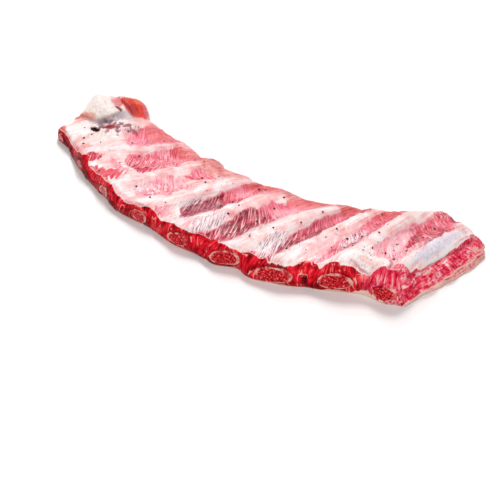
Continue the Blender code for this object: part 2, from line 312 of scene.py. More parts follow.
def top_height(rib, across):
    """Height of the top before the edges round it down."""
    front = through(FRONT_HEIGHT, rib)
    middle = through(MIDDLE_HEIGHT, rib)
    back = through(BACK_HEIGHT, rib)
    handle = 2.0 * middle - 0.5 * (front + back)
    height = front * (1.0 - across) ** 2 + 2.0 * handle * across * (1.0 - across) + back * across ** 2
    inner = np.clip((rib - RIDGE_FIRST) / RIDGE_FADE, 0.0, 1.0)
    inner = inner * np.clip((RIDGE_LAST - rib) / RIDGE_FADE, 0.0, 1.0)
    height = height + RIDGE_SWELL * ridge_wave(rib, across) * inner
    for lump_rib, lump_across, reach_along, reach_across, lift in LUMPS:
        distance = ((rib - lump_rib) / reach_along) ** 2 + ((across - lump_across) / reach_across) ** 2
        height = height + lift * np.exp(-distance)
    return height


def rib_coordinate(along, across, up):
    """Rib coordinate of a point of the slab, and its even share without the two shaped ends."""
    first = min(value for place, value in LEFT_END)
    last = max(value for place, value in RIGHT_END)
    even = first + (last - first) * along
    at_left = (through(LEFT_END, across) - first) * fade(even - first, LEFT_BLEND)
    lean = END_LEAN * up * np.sin(pi * np.clip(across, 0.0, 1.0)) ** LEAN_EASE
    at_right = (through(RIGHT_END, across) - last - lean) * fade(last - even, RIGHT_BLEND)
    return even + at_left + at_right, even - first, last - even


def front_shape(rib, across):
    """Slope in millimetres and upright share of the front cut, steeper on a rib than between two."""
    between = 0.5 - 0.5 * ridge_wave(rib, across)
    slope = FRONT_SLOPE_AT_RIB + (FRONT_SLOPE_BETWEEN - FRONT_SLOPE_AT_RIB) * between
    upright = FRONT_UPRIGHT_AT_RIB + (FRONT_UPRIGHT_BETWEEN - FRONT_UPRIGHT_AT_RIB) * between
    return slope, upright


def edge_swell(up):
    """How far a cut face bulges out in millimetres, tucked in at its foot."""
    return EDGE_BULGE * np.sin(pi * up) - FOOT_TUCK * (1.0 - up) ** 3


def slab_point(along, across, up):
    """Position in metres of a point of the slab, from its shares along, across and up."""
    rib, from_left, from_right = rib_coordinate(along, across, up)
    span = rib_span(rib)
    height = top_height(rib, across) * shoulder(across * span, *front_shape(rib, across))
    height = height * shoulder((1.0 - across) * span, BACK_SLOPE, BACK_UPRIGHT)
    height = height * shoulder(from_left * RIB_PITCH, LEFT_SLOPE, LEFT_UPRIGHT)
    height = height * shoulder(from_right * RIB_PITCH, RIGHT_SLOPE, RIGHT_UPRIGHT)
    swell = edge_swell(up) * np.sin(pi * along) ** BULGE_EASE
    front_out = -(through(FRONT_STRAY, rib) + swell) * fade(across, STRAY_REACH)
    back_out = (through(BACK_STRAY, rib) + swell) * fade(1.0 - across, STRAY_REACH)
    x, y = plan_point(rib, across, front_out + back_out)
    return np.stack([x + PLAN_SHIFT[0], y + PLAN_SHIFT[1], height * up], axis=-1) * MM


print("rib 5 is", round(float(top_height(5.0, 0.5)), 1), "mm high at its middle")

# %% [markdown]
# ## A blank to shape
# The surface starts as a block of small cells, the way a butcher's slab starts as a block.
# A Geometry Nodes tree makes it, because its Cube node takes the number of slices each way
# as inputs, so one number changes how fine the whole surface is.

# %% The blank
CELLS_ALONG = 480
CELLS_ACROSS = 146
CELLS_UP = 16


def new_tree(name, sockets, with_mesh=False):
    """An empty Geometry Nodes tree with named inputs, its input node and its output socket."""
    tree = bpy.data.node_groups.new(name, "GeometryNodeTree")
    if with_mesh:
        tree.interface.new_socket("Geometry", in_out="INPUT", socket_type="NodeSocketGeometry")
    for label, kind in sockets:
        tree.interface.new_socket(label, in_out="INPUT", socket_type="NodeSocket" + kind)
    tree.interface.new_socket("Geometry", in_out="OUTPUT", socket_type="NodeSocketGeometry")
    return tree, tree.nodes.new("NodeGroupInput"), tree.nodes.new("NodeGroupOutput")


def grow(name, mesh, tree, values):
    """Run a tree on a mesh and return the result as a plain object at the origin."""
    carrier = bpy.data.objects.new(name + "_carrier", mesh)
    bpy.context.scene.collection.objects.link(carrier)
    modifier = carrier.modifiers.new("grow", "NODES")
    modifier.node_group = tree
    for item in tree.interface.items_tree:
        if item.in_out == "INPUT" and item.name in values:
            modifier[item.identifier] = values[item.name]
    evaluated = carrier.evaluated_get(bpy.context.evaluated_depsgraph_get())
    result = bpy.data.meshes.new_from_object(evaluated)
    result.name = name
    bpy.data.objects.remove(carrier, do_unlink=True)
    piece = bpy.data.objects.new(name, result)
    bpy.context.scene.collection.objects.link(piece)
    return piece


def close_tree(tree, geometry, given, out):
    """Realize what a tree made, set its finish and send it out."""
    whole = add_node(tree, "GeometryNodeRealizeInstances", Geometry=geometry)
    finish = add_node(tree, "GeometryNodeSetMaterial", Geometry=whole.outputs["Geometry"],
                      Material=given.outputs["Finish"])
    tree.links.new(finish.outputs["Geometry"], out.inputs["Geometry"])
    return tree


def blank_tree():
    """A unit block sliced into cells, with its finish set."""
    tree, given, out = new_tree("sliced_blank", (("Cells Along", "Int"), ("Cells Across", "Int"),
                                                 ("Cells Up", "Int"), ("Finish", "Material")))
    block = add_node(tree, "GeometryNodeMeshCube", Size=(1.0, 1.0, 1.0),
                     Vertices_X=given.outputs["Cells Along"], Vertices_Y=given.outputs["Cells Across"],
                     Vertices_Z=given.outputs["Cells Up"])
    return close_tree(tree, block.outputs["Mesh"], given, out)


def read_rows(mesh, what="co"):
    """The points of a mesh, or another vector of each, as rows of three."""
    rows = np.empty(len(mesh.vertices) * 3)
    mesh.vertices.foreach_get(what, rows)
    return rows.reshape(-1, 3)


meat_finish = bpy.data.materials.new("raw_pork_wet")
meat = grow("rack_surface", bpy.data.meshes.new("empty_blank"), blank_tree(),
            {"Cells Along": CELLS_ALONG, "Cells Across": CELLS_ACROSS, "Cells Up": CELLS_UP,
             "Finish": meat_finish})
block = np.clip(read_rows(meat.data) + 0.5, 0.0, 1.0)
along, across, up = block.T
print("blank has", len(block), "points")

# %% [markdown]
# ## Grain and noise
# Muscle has a grain: its fibres run in bundles, slanting between one rib and the next. Most
# of the detail below is noise that is stretched along that grain. Working it out on the
# points themselves lets one pattern drive both the relief and the colours.

# %% Noise that follows the grain
GRAIN_SLANT = radians(31.0)
THIN_END_DRIFT = 0.88
BROAD_END_DRIFT = 0.58
DRIFT_CHANGE = (3.0, 4.2)
BACK_DRIFT = 3.0
BACK_POWER = 5.0
FACE_GRAIN = (1.2, 0.25)
# the knob's outer flank: rib, share across, reach along and across, then its drop as a share of height
FLANK_RIB, FLANK_ACROSS, FLANK_ALONG, FLANK_WIDTH = 0.12, 0.30, 0.42, 0.20
FLANK_EASE = (0.2, 1.0)
FLANK_DROP = 0.26
# run and width of the noise features in millimetres
FIBRE_SIZE = (9.0, 1.7)
BUNDLE_SIZE = (16.0, 4.2)
MOTTLE_SIZE = 11.0
CRUMB_SIZE = 3.0
SEEDS = {"fibre": 11, "bundle": 23, "mottle": 37, "crumb": 41, "wander": 53, "pits": 61, "lump": 71}
HASH_PRIMES = (374761393, 668265263, 2147483647)
SEED_PRIME = 1274126177
HASH_TURN = 1103515245
HASH_MASK = 0xFFFFFFFF
HASH_TOP = 0xFFFFFF
AT_EDGE = 0.001


def cloud(x, y, z, seed):
    """Smooth value noise from 0 to 1 with a feature size of about 1."""
    cell = [np.floor(c).astype(np.int64) for c in (x, y, z)]
    part = [c - f for c, f in zip((x, y, z), cell)]
    part = [t * t * t * (t * (t * 6.0 - 15.0) + 10.0) for t in part]
    total = 0.0
    for corner in range(8):
        step = [(corner >> k) & 1 for k in range(3)]
        mixed = sum((c + s) * prime for c, s, prime in zip(cell, step, HASH_PRIMES))
        mixed = (mixed + seed * SEED_PRIME) & HASH_MASK
        mixed = ((mixed ^ (mixed >> 13)) * HASH_TURN) & HASH_MASK
        value = ((mixed ^ (mixed >> 16)) & HASH_TOP) / float(HASH_TOP)
        weight = 1.0
        for t, s in zip(part, step):
            weight = weight * (t if s else 1.0 - t)
        total = total + weight * value
    return total


def layered(x, y, z, seed, layers=3):
    """Several sizes of noise added up, from 0 to 1."""
    total, weight, scale = 0.0, 0.0, 1.0
    for layer in range(layers):
        total = total + cloud(x * scale, y * scale, z * scale, seed + layer) / scale
        weight += 1.0 / scale
        scale *= 2.0
    return total / weight


def step_up(value, low, high):
    """0 below low, 1 above high, smooth between."""
    t = np.clip((value - low) / (high - low), 0.0, 1.0)
    return t * t * (3.0 - 2.0 * t)


def noise_in(x, y, z, size, name):
    """Layered noise with a feature size in millimetres, or one size for each direction."""
    sizes = size if isinstance(size, tuple) else (size, size, size)
    return layered(x / sizes[0], y / sizes[1], z / sizes[2], SEEDS[name])


rib, from_left, from_right = rib_coordinate(along, across, up)
span = rib_span(rib)
places = slab_point(along, across, up)
flank = np.hypot((rib - FLANK_RIB) / FLANK_ALONG, (across - FLANK_ACROSS) / FLANK_WIDTH)
places[:, 2] *= 1.0 - FLANK_DROP * (1.0 - step_up(flank, *FLANK_EASE))
on_top = up > 1.0 - AT_EDGE
on_front = (across < AT_EDGE) & ~on_top
on_back = (across > 1.0 - AT_EDGE) & ~on_top
on_right = (along > 1.0 - AT_EDGE) & ~on_top
on_left = (along < AT_EDGE) & ~on_top
in_from_front = across * span
in_from_back = (1.0 - across) * span
flat_x = rib * RIB_PITCH
flat_y = in_from_front
grain_run = -flat_x * sin(GRAIN_SLANT) + flat_y * cos(GRAIN_SLANT)
drift = THIN_END_DRIFT + (BROAD_END_DRIFT - THIN_END_DRIFT) * step_up(rib, *DRIFT_CHANGE)
drift = drift * across + BACK_DRIFT * across ** BACK_POWER / BACK_POWER
grain_side = (flat_x + span * drift) * cos(GRAIN_SLANT)
height_mm = places[:, 2] / MM
upright_face = on_front | on_back | on_right | on_left
edge_run = np.where(on_left | on_right, flat_y, flat_x)
grain_run = np.where(upright_face, height_mm * FACE_GRAIN[0] + edge_run * FACE_GRAIN[1], grain_run)
grain_side = np.where(upright_face, edge_run, grain_side)
fibre = noise_in(grain_run, grain_side, up * 3.0, (*FIBRE_SIZE, 1.0), "fibre")
bundle = noise_in(grain_run, grain_side, up * 3.0, (*BUNDLE_SIZE, 1.0), "bundle")
x_mm, y_mm, _ = places.T / MM
mottle = noise_in(x_mm, y_mm, height_mm, MOTTLE_SIZE, "mottle")
crumb = noise_in(x_mm, y_mm, height_mm, CRUMB_SIZE, "crumb")
nowhere = np.zeros(len(block))
print("fibre noise from", round(float(fibre.min()), 2), "to", round(float(fibre.max()), 2))

# %% [markdown]
# ## Where the lean meat shows
# White fat and membrane cover each rib, and lean muscle fills the bays between two ribs.
# Each field of muscle is drawn by its left and right edge, read across the rack, with how
# deep its red is, how much dark membrane covers it, and how much it is flecked with fat.

# %% Fields of muscle
# Edges are pairs of share across and rib coordinate. Tone, veil and strand change with the
# share across too. Fleck is the same all over, and tilt makes one side deeper than the other.
MUSCLES = (
    # bay 1: smooth pink, only towards the back
    {"left": ((0.46, 2.02), (0.54, 1.68), (0.62, 1.38), (0.72, 1.26), (1.0, 1.24)),
     "right": ((0.46, 2.04), (0.60, 2.08), (1.0, 1.98)), "range": (0.46, 1.1),
     "tone": ((0.45, 0.34), (0.75, 0.46), (1.0, 0.46)),
     "veil": ((0.5, 0.0), (1.0, 0.0)), "fleck": 0.25, "strand": ((0.5, 0.15), (1.0, 0.10))},
    # bay 2: red and flecked, deepest at its lower corner
    {"left": ((0.30, 3.02), (0.37, 2.42), (0.45, 2.28), (0.60, 2.28), (0.85, 2.16), (1.0, 2.25)),
     "right": ((0.30, 3.08), (0.45, 3.12), (0.62, 3.10), (0.78, 2.98), (1.0, 2.98)), "range": (0.31, 1.1),
     "tone": ((0.33, 0.76), (0.50, 0.60), (0.72, 0.46), (0.84, 0.46), (1.0, 0.36)),
     "veil": ((0.3, 0.10), (0.9, 0.0)), "fleck": 0.50, "strand": ((0.3, 0.50), (0.9, 0.25))},
    # bay 3: mostly fat, with a flecked field and a small red one
    {"left": ((0.14, 3.42), (0.28, 3.34), (0.50, 3.26)),
     "right": ((0.14, 3.80), (0.28, 4.02), (0.44, 4.02), (0.56, 3.80)), "range": (0.18, 0.56),
     "tone": ((0.18, 0.56), (0.28, 0.40), (0.5, 0.28)),
     "veil": ((0.2, 0.1), (0.5, 0.0)), "fleck": 0.85, "strand": ((0.2, 0.60), (0.5, 0.45))},
    {"left": ((0.62, 3.34), (0.80, 3.18)),
     "right": ((0.62, 3.42), (0.70, 3.54), (0.80, 3.60)), "range": (0.62, 0.82),
     "tone": ((0.6, 0.78), (0.8, 0.60)),
     "veil": ((0.6, 0.0), (0.8, 0.0)), "fleck": 0.60, "strand": ((0.6, 0.25), (0.8, 0.25))},
    # bay 4: dark under its membrane near the front, pinker behind
    {"left": ((0.17, 4.62), (0.30, 4.34), (0.42, 4.28), (0.60, 4.28), (0.80, 4.24), (1.0, 4.26)),
     "right": ((0.17, 4.90), (0.30, 5.00), (0.70, 5.00), (0.88, 5.08), (1.0, 5.16)), "range": (0.16, 1.1),
     "tone": ((0.18, 0.94), (0.48, 0.90), (0.62, 0.76), (0.76, 0.36), (1.0, 0.46)),
     "veil": ((0.18, 0.88), (0.48, 0.72), (0.60, 0.15), (1.0, 0.0)), "fleck": 0.12, "tilt": 0.20,
     "strand": ((0.18, 0.40), (0.60, 0.42), (0.78, 0.35), (0.90, 0.15))},
    # bay 5: dark with silvery stripes
    {"left": ((0.0, 5.18), (0.10, 5.32), (0.50, 5.24), (0.72, 5.24), (0.86, 5.32), (1.0, 5.34)),
     "right": ((0.0, 5.86), (0.10, 5.93), (0.20, 5.90), (0.34, 5.78), (0.50, 5.72), (0.72, 5.68),
               (0.86, 5.82), (1.0, 6.06)), "range": (0.0, 1.1),
     "tone": ((0.1, 0.72), (0.35, 0.90), (0.55, 0.76), (0.68, 0.34), (0.85, 0.32), (1.0, 0.46)),
     "veil": ((0.08, 0.15), (0.25, 0.42), (0.56, 0.44), (0.70, 0.06), (1.0, 0.0)), "fleck": 0.15,
     "tilt": 0.50, "strand": ((0.05, 0.60), (0.20, 0.80), (0.55, 0.65), (0.80, 0.15))},
    # bay 6: silvery near the front, dark in the middle
    {"left": ((0.0, 6.20), (0.06, 6.30), (0.14, 6.46), (0.30, 6.40), (0.46, 6.32), (0.62, 6.24),
              (0.80, 6.22), (1.0, 6.18)),
     "right": ((0.0, 6.90), (0.10, 6.86), (0.22, 6.90), (0.36, 6.96), (0.70, 7.00), (0.86, 7.06),
               (1.0, 6.96)), "range": (0.0, 1.1),
     "tone": ((0.08, 0.55), (0.28, 0.92), (0.45, 0.88), (0.62, 0.60), (0.85, 0.56), (1.0, 0.54)),
     "veil": ((0.08, 0.30), (0.35, 0.38), (0.55, 0.50), (0.75, 0.22), (1.0, 0.05)), "fleck": 0.12,
     "tilt": -0.25, "strand": ((0.05, 0.90), (0.34, 0.58), (0.58, 0.35), (0.90, 0.12))},
    # bay 7: pink, with a purplish middle
    {"left": ((0.06, 7.40), (0.20, 7.44), (0.36, 7.40), (0.66, 7.38), (1.0, 7.25)),
     "right": ((0.06, 7.62), (0.20, 7.78), (0.32, 7.94), (0.70, 7.99), (0.88, 7.96), (1.0, 7.80)),
     "range": (0.05, 1.1),
     "tone": ((0.1, 0.44), (0.35, 0.48), (0.60, 0.50), (0.80, 0.64), (1.0, 0.58)),
     "veil": ((0.1, 0.0), (0.35, 0.20), (0.58, 0.34), (0.72, 0.0)), "fleck": 0.45,
     "strand": ((0.1, 0.70), (0.45, 0.60), (0.75, 0.20))},
    # bay 8: coarse and flecked, with a red stripe
    {"left": ((0.10, 8.94), (0.20, 8.74), (0.27, 8.52), (0.33, 8.28), (0.60, 8.26), (0.78, 8.28),
              (0.88, 8.42), (1.0, 8.44)),
     "right": ((0.10, 8.97), (0.26, 8.95), (0.50, 9.00), (0.78, 9.03), (0.90, 8.92), (1.0, 8.84)),
     "range": (0.10, 1.1),
     "tone": ((0.15, 0.26), (0.40, 0.30), (0.65, 0.48), (0.85, 0.60), (0.95, 0.76), (1.0, 0.92)),
     "veil": ((0.2, 0.0), (0.60, 0.22), (0.78, 0.25), (0.9, 0.0)), "fleck": 0.55,
     "strand": ((0.2, 0.70), (0.60, 0.40), (0.72, 0.12), (1.0, 0.05))},
)
print("fields of muscle:", len(MUSCLES))

# %% [markdown]
# ## From edges to soft fields
# Lean has no sharp border on a real rack. The surface sinks first, then pink shows through
# thin fat, then bare lean starts at an edge that is feathered along the grain. So each field
# is laid down three times, with a different soft band each time.

# %% Soft fields
# Soft bands, at a field's sides in ribs and at its ends in share across: the sunk bed, the
# pink halo round it, and the lean itself, whose edge is feathered by the grain.
BED_BANDS = ((-0.16, 0.22), (-0.06, 0.06))
HALO_BANDS = ((-0.40, 0.10), (-0.16, 0.02))
LEAN_BANDS = ((-0.11, 0.11), (-0.03, 0.03))
HALO_THINS = (3.6, 4.6)
FEATHER = 0.12
STRAND_GROWTH = (0.55, 0.8)


def within(sides, ends, side_band, end_band):
    """1 on the top inside a field's sides and ends, easing over a soft band at each."""
    inside = np.where(on_top, 1.0, 0.0)
    for distances, band in ((sides, side_band), (ends, end_band)):
        for distance in distances:
            inside = inside * step_up(distance, *band)
    return inside


def toward(values, target, share):
    """Values moved to a target by a share."""
    return values + (target - values) * share


lean, veil, bed, halo = (np.zeros(len(block)) for _ in range(4))
tone, fleck, strand = (np.full(len(block), start) for start in (0.4, 0.3, 0.4))
end_feather = FEATHER * (bundle - 0.5)
side_feather = end_feather + FEATHER * (mottle - 0.5)
for field in MUSCLES:
    low, high = field["range"]
    from_left_edge = rib - through(field["left"], across)
    from_right_edge = through(field["right"], across) - rib
    from_low, from_high = across - low, high - across
    bed = np.maximum(bed, within((from_left_edge, from_right_edge), (from_low, from_high), *BED_BANDS))
    nearby = within((from_left_edge, from_right_edge), (from_low, from_high), *HALO_BANDS)
    halo = np.maximum(halo, nearby * (1.0 - 0.5 * step_up(rib, *HALO_THINS)))
    inside = within((from_left_edge + side_feather, from_right_edge - side_feather),
                    (from_low + end_feather, from_high - end_feather), *LEAN_BANDS)
    part_way = np.clip(from_left_edge / np.maximum(from_left_edge + from_right_edge, 0.01), 0.0, 1.0)
    growth = STRAND_GROWTH[0] + STRAND_GROWTH[1] * part_way
    lean = np.maximum(lean, inside)
    tone = toward(tone, through(field["tone"], across), inside)
    tone = tone + field.get("tilt", 0.0) * (0.5 - part_way) * inside
    veil = toward(veil, through(field["veil"], across), inside)
    fleck = toward(fleck, field["fleck"], inside)
    strand = toward(strand, through(field["strand"], across) * growth, inside)
print("lean covers", round(100.0 * float(lean[on_top].mean())), "% of the top")

# %% [markdown]
# ## Patches that break the rule
# No rack is regular. A short list of oval patches adds what this one shows: redder corners,
# the grey skin and the ragged pocket at the thin end, the fat lobe at the broad end and the
# bluish gristle over the last rib. Each patch is a place, a reach and a strength.

# %% Patches
RIB_LINE_MM = 90.0
RAGGED_LIMITS = (0.12, 0.40)


def oval(patch_rib, patch_across, reach_along, reach_across, turn=0.0, ragged=0.5):
    """1 inside an oval on the top, fading over a ragged edge; the turn is in degrees."""
    x = (rib - patch_rib) * RIB_PITCH
    y = (across - patch_across) * span
    c, s = cos(radians(turn)), sin(radians(turn))
    u = (x * c + y * s) / (reach_along * RIB_PITCH)
    v = (-x * s + y * c) / (reach_across * RIB_LINE_MM)
    distance = np.sqrt(u * u + v * v) + (fibre - 0.5) * ragged + (mottle - 0.5) * ragged * 0.6
    soft = np.clip(ragged, *RAGGED_LIMITS)
    return np.where(on_top, 1.0 - step_up(distance, 1.0 - 0.7 * soft, 1.0 + 0.3 * soft), 0.0)


# place, reach, turn and ragged edge, then lean, tone, veil and fleck
RED_PATCHES = (
    (2.76, 0.12, 0.30, 0.11, 10.0, 0.9, 1.00, 0.66, 0.0, 0.10),
    (2.16, 0.09, 0.10, 0.11, 0.0, 0.9, 0.90, 0.72, 0.0, 0.20),
    (2.94, 0.40, 0.18, 0.065, -20.0, 0.9, 1.00, 0.80, 0.0, 0.05),
    (2.62, 0.26, 0.32, 0.040, 0.0, 0.9, 0.80, 0.40, 0.0, 0.45),
    (1.62, 0.13, 0.26, 0.10, 0.0, 1.0, 0.52, 0.32, 0.0, 0.50),
    (1.62, 0.03, 0.22, 0.040, 0.0, 0.9, 0.85, 0.62, 0.0, 0.30),
    (1.38, 0.12, 0.06, 0.11, 10.0, 0.9, 0.85, 0.48, 0.0, 0.30),
    (3.80, 0.60, 0.20, 0.10, 0.0, 0.7, 0.35, 0.22, 0.0, 0.60),
    (4.36, 0.10, 0.20, 0.07, 0.0, 0.9, 0.60, 0.42, 0.2, 0.95),
    (5.05, 0.15, 0.10, 0.08, 0.0, 0.9, 0.45, 0.30, 0.0, 0.80),
    (2.36, 0.85, 0.16, 0.05, -20.0, 1.0, 0.95, 0.66, 0.0, 0.25),
    (1.38, 0.82, 0.12, 0.12, 0.0, 1.0, 0.95, 0.60, 0.0, 0.30),
    (7.26, 0.30, 0.15, 0.24, 0.0, 0.5, 0.42, 0.12, 0.0, 0.50),
    (3.65, 0.92, 0.50, 0.08, 0.0, 0.5, 0.40, 0.20, 0.0, 0.30),
    (2.62, 0.02, 0.34, 0.045, 0.0, 0.7, 0.85, 0.62, 0.0, 0.40),
    (8.39, 0.48, 0.14, 0.26, 0.0, 0.4, 0.80, 0.14, 0.0, 0.15),
    (8.57, 0.61, 0.08, 0.18, 14.0, 0.5, 0.95, 0.86, 0.0, 0.15),
    (6.70, 0.34, 0.11, 0.13, 22.0, 0.4, 0.95, 0.92, 0.0, 0.10),
    (5.50, 0.38, 0.09, 0.16, 18.0, 0.4, 0.95, 0.94, 0.1, 0.10),
    (8.70, 0.80, 0.26, 0.05, 0.0, 0.8, 0.95, 0.78, 0.10, 0.25),
    (8.92, 0.62, 0.11, 0.17, 0.0, 0.6, 0.95, 0.70, 0.70, 0.30),
    (8.76, 0.98, 0.17, 0.07, 0.0, 0.7, 0.98, 1.00, 0.0, 0.05),
    (9.16, 0.06, 0.26, 0.07, 0.0, 0.8, 0.85, 0.56, 0.0, 0.60),
    (0.46, 0.90, 0.46, 0.075, 4.0, 0.3, 0.98, 0.66, 0.0, 0.10),
    (0.22, 0.765, 0.46, 0.035, -22.0, 0.4, 0.80, 0.48, 0.0, 0.20),
    (0.60, 0.30, 0.08, 0.14, 0.0, 0.5, 0.65, 0.30, 0.1, 0.40),
    (1.06, 0.48, 0.15, 0.09, 0.0, 0.5, 0.95, 0.80, 0.5, 0.10),
)
for *place, lean_to, tone_to, veil_to, fleck_to in RED_PATCHES:
    here = oval(*place)
    lean = np.maximum(lean, here * lean_to)
    tone, veil = toward(tone, tone_to, here), toward(veil, veil_to, here)
    fleck = toward(fleck, fleck_to, here)
print("red patches:", len(RED_PATCHES))

# %% [markdown]
# ## Tinted patches, with painted shade and a painted highlight
# Some places are neither plain fat nor plain lean: the creamy knob, the grey skin beside it,
# blood, and bluish gristle. A few patches are painted shade in grooves, and one is a painted
# highlight on the orange lobe. Their tint is laid over the rest, and some stand up or sink a little.
# Ovals with a ragged edge are enough, because the noise breaks their outline.

# %% Tinted patches
# place as rib coordinate and share across, reach the same way, and turn
KNOB = (0.32, 0.50, 0.46, 0.20, 24.0)
WOUND = (1.07, 0.47, 0.19, 0.090, 0.0)
TINTS = {"scarlet": "#F04850", "crimson": "#E01E4A", "rose": "#E8485E", "blush": "#F48C9A",
         "crease": "#D8788A", "salmon": "#F4A296", "amber": "#EE8468", "orange": "#E23C28",
         "clot": "#9C1034", "wound": "#98203A", "blood": "#7A0A24", "slate": "#705C66",
         "grey": "#D2C6CC", "gristle": "#E4E2F0", "milk": "#FDF1EE", "cream": "#FEF4EC"}
# place, reach, turn and ragged edge, then the tint, its strength and how far it stands up in mm
PATCHES = (
    (1.30, 0.22, 0.50, 0.18, 0.0, 0.6, "cream", 0.50, 0.0),
    (0.85, 0.02, 0.24, 0.04, 0.0, 0.5, "orange", 0.75, 0.0),
    (0.52, 0.23, 0.16, 0.10, -30.0, 0.4, "amber", 0.65, -0.4),
    (0.72, 0.68, 0.21, 0.17, 12.0, 0.3, "grey", 0.90, -0.6),
    # painted shade: a dark line at the knob's foot, where the surface also sinks
    (0.84, 0.50, 0.09, 0.07, -20.0, 0.6, "slate", 0.55, -0.8),
    (*KNOB, 0.12, "cream", 0.80, 0.8),
    (0.62, 0.27, 0.11, 0.12, -20.0, 0.6, "amber", 0.70, 0.3),
    (0.10, 0.800, 0.44, 0.050, -14.0, 0.2, "cream", 0.85, 0.8),
    (0.14, 0.760, 0.36, 0.050, -22.0, 0.9, "rose", 0.80, 0.4),
    (0.42, 0.875, 0.54, 0.060, 4.0, 0.25, "orange", 0.92, 0.9),
    # painted highlight: a lighter amber strip along the back of the orange lobe
    (0.12, 0.930, 0.30, 0.024, 0.0, 0.3, "amber", 0.80, 0.3),
    (0.50, 0.865, 0.22, 0.030, 4.0, 0.4, "blood", 0.45, 0.0),
    # painted shade: a dark line in the groove between the white lobe and the orange lobe
    (0.30, 0.825, 0.45, 0.010, 4.0, 0.2, "slate", 0.45, -1.4),
    (0.48, 0.720, 0.07, 0.032, 0.0, 0.2, "blood", 0.95, -0.4),
    (-0.28, 0.775, 0.07, 0.018, 0.0, 0.2, "blood", 0.80, 0.0),
    (*WOUND, 0.4, "wound", 0.92, -0.5),
    (1.80, 0.05, 0.30, 0.05, 0.0, 0.7, "blush", 0.40, 0.0),
    (1.66, 0.14, 0.20, 0.06, 0.0, 1.0, "amber", 0.50, 0.0),
    (2.76, 0.12, 0.29, 0.11, 10.0, 0.9, "scarlet", 0.60, 0.0),
    (2.94, 0.40, 0.15, 0.06, -20.0, 0.8, "crimson", 0.55, 0.0),
    (2.16, 0.08, 0.07, 0.08, 0.0, 0.9, "crimson", 0.35, 0.0),
    (3.45, 0.04, 0.34, 0.05, 0.0, 0.7, "blush", 0.45, 0.0),
    (8.95, 0.040, 0.40, 0.045, 0.0, 0.9, "crimson", 0.35, 0.0),
    (9.18, 0.52, 0.15, 0.34, -2.0, 0.35, "gristle", 0.80, 0.0),
    (9.38, 0.76, 0.06, 0.09, -4.0, 1.0, "blush", 0.45, 0.0),
)
# a trace of strength that keeps divisions safe
TRACE = 1e-4


def tint_of(name):
    """A named tint as linear red, green and blue."""
    return np.array(linear(TINTS[name])[:3])


tint = np.zeros((len(block), 3))
tint_strength, lift = np.zeros(len(block)), np.zeros(len(block))
for *place, name, strength, height in PATCHES:
    here = oval(*place)
    tint = tint * (1.0 - here * strength)[:, None] + np.outer(here * strength, tint_of(name))
    tint_strength = toward(tint_strength, 1.0, here * strength)
    lift = toward(lift, height, here)
tint = tint / np.maximum(tint_strength, TRACE)[:, None]
print("tinted patches:", len(PATCHES))

# %% [markdown]
# ## The torn pocket, the knob and the fat lobe
# Between the knob and the first ribs the skin is torn, with a pit and flecks of gristle. The pit is
# coloured near black, which is painted shade. Near the broad end a smooth lobe of fat hangs over the
# front, with painted shade in the crease round its right side. These shape the surface as well as
# colour it, so their masks are kept for the relief further down.

# %% Pocket, knob and lobe
PIT = (1.09, 0.355, 0.18, 0.048, -14.0)
TORN_SKIN = (1.10, 0.56, 0.34, 0.22, 0.0)
KNOB_FOOT = (0.35, 0.50, 0.57, 0.24, 24.0)
LOBE = (8.42, 0.128, 0.56, 0.092, -20.0)
LOBE_EDGE = (8.44, 0.126, 0.61, 0.106, -20.0)
LOBE_STAIN = (8.50, 0.095, 0.28, 0.035, -22.0)
LOBE_RISE, CREASE_DEPTH = 1.1, 0.5

torn = oval(*TORN_SKIN, 0.6)
gristle_flecks = torn * step_up(crumb, 0.50, 0.42) * (1.0 - oval(*WOUND, 0.4))
blood_marks = 0.85 * torn * step_up(crumb, 0.53, 0.58)
tint = toward(tint, tint_of("clot"), blood_marks[:, None])
tint_strength = np.maximum(tint_strength, blood_marks)
# painted shade: the pit is coloured near black, as well as sunk
pit = oval(*PIT, 0.12)
knob = oval(*KNOB, 0.10)
knob_foot = oval(*KNOB_FOOT, 0.15) * (1.0 - knob) * step_up(rib, 0.35, 0.6)
fat_lobe = oval(*LOBE, 0.12)
lobe_shows = step_up(rib, 8.02, 8.40)
# painted shade: the crease round the lobe's right side is tinted darker pink, as well as sunk
lobe_crease = oval(*LOBE_EDGE, 0.12) * (1.0 - fat_lobe) * lobe_shows
for mask, name in ((0.95 * fat_lobe * lobe_shows, "milk"), (0.90 * lobe_crease, "crease"),
                   (0.40 * oval(*LOBE_STAIN, 1.0), "salmon")):
    share = mask / np.maximum(np.maximum(tint_strength, mask), TRACE)
    tint = toward(tint, tint_of(name), share[:, None])
    tint_strength = np.maximum(tint_strength, mask)
lift = lift + LOBE_RISE * fat_lobe * lobe_shows - CREASE_DEPTH * lobe_crease
lean = lean * (1.0 - knob) * (1.0 - fat_lobe * 0.95) * (1.0 - 0.7 * gristle_flecks)
tint_strength = tint_strength * (1.0 - 0.8 * gristle_flecks)
print("lean now covers", round(100.0 * float(lean[on_top].mean())), "% of the top")

# %% [markdown]
# ## Pink and silver in the fat
# Where fat is thin the red below tints it, and sheets of membrane shine like silver. Both
# are casts over what is there and no tissue of their own, so they change the colour alone.
# Two short lists of ovals with very ragged edges place them.

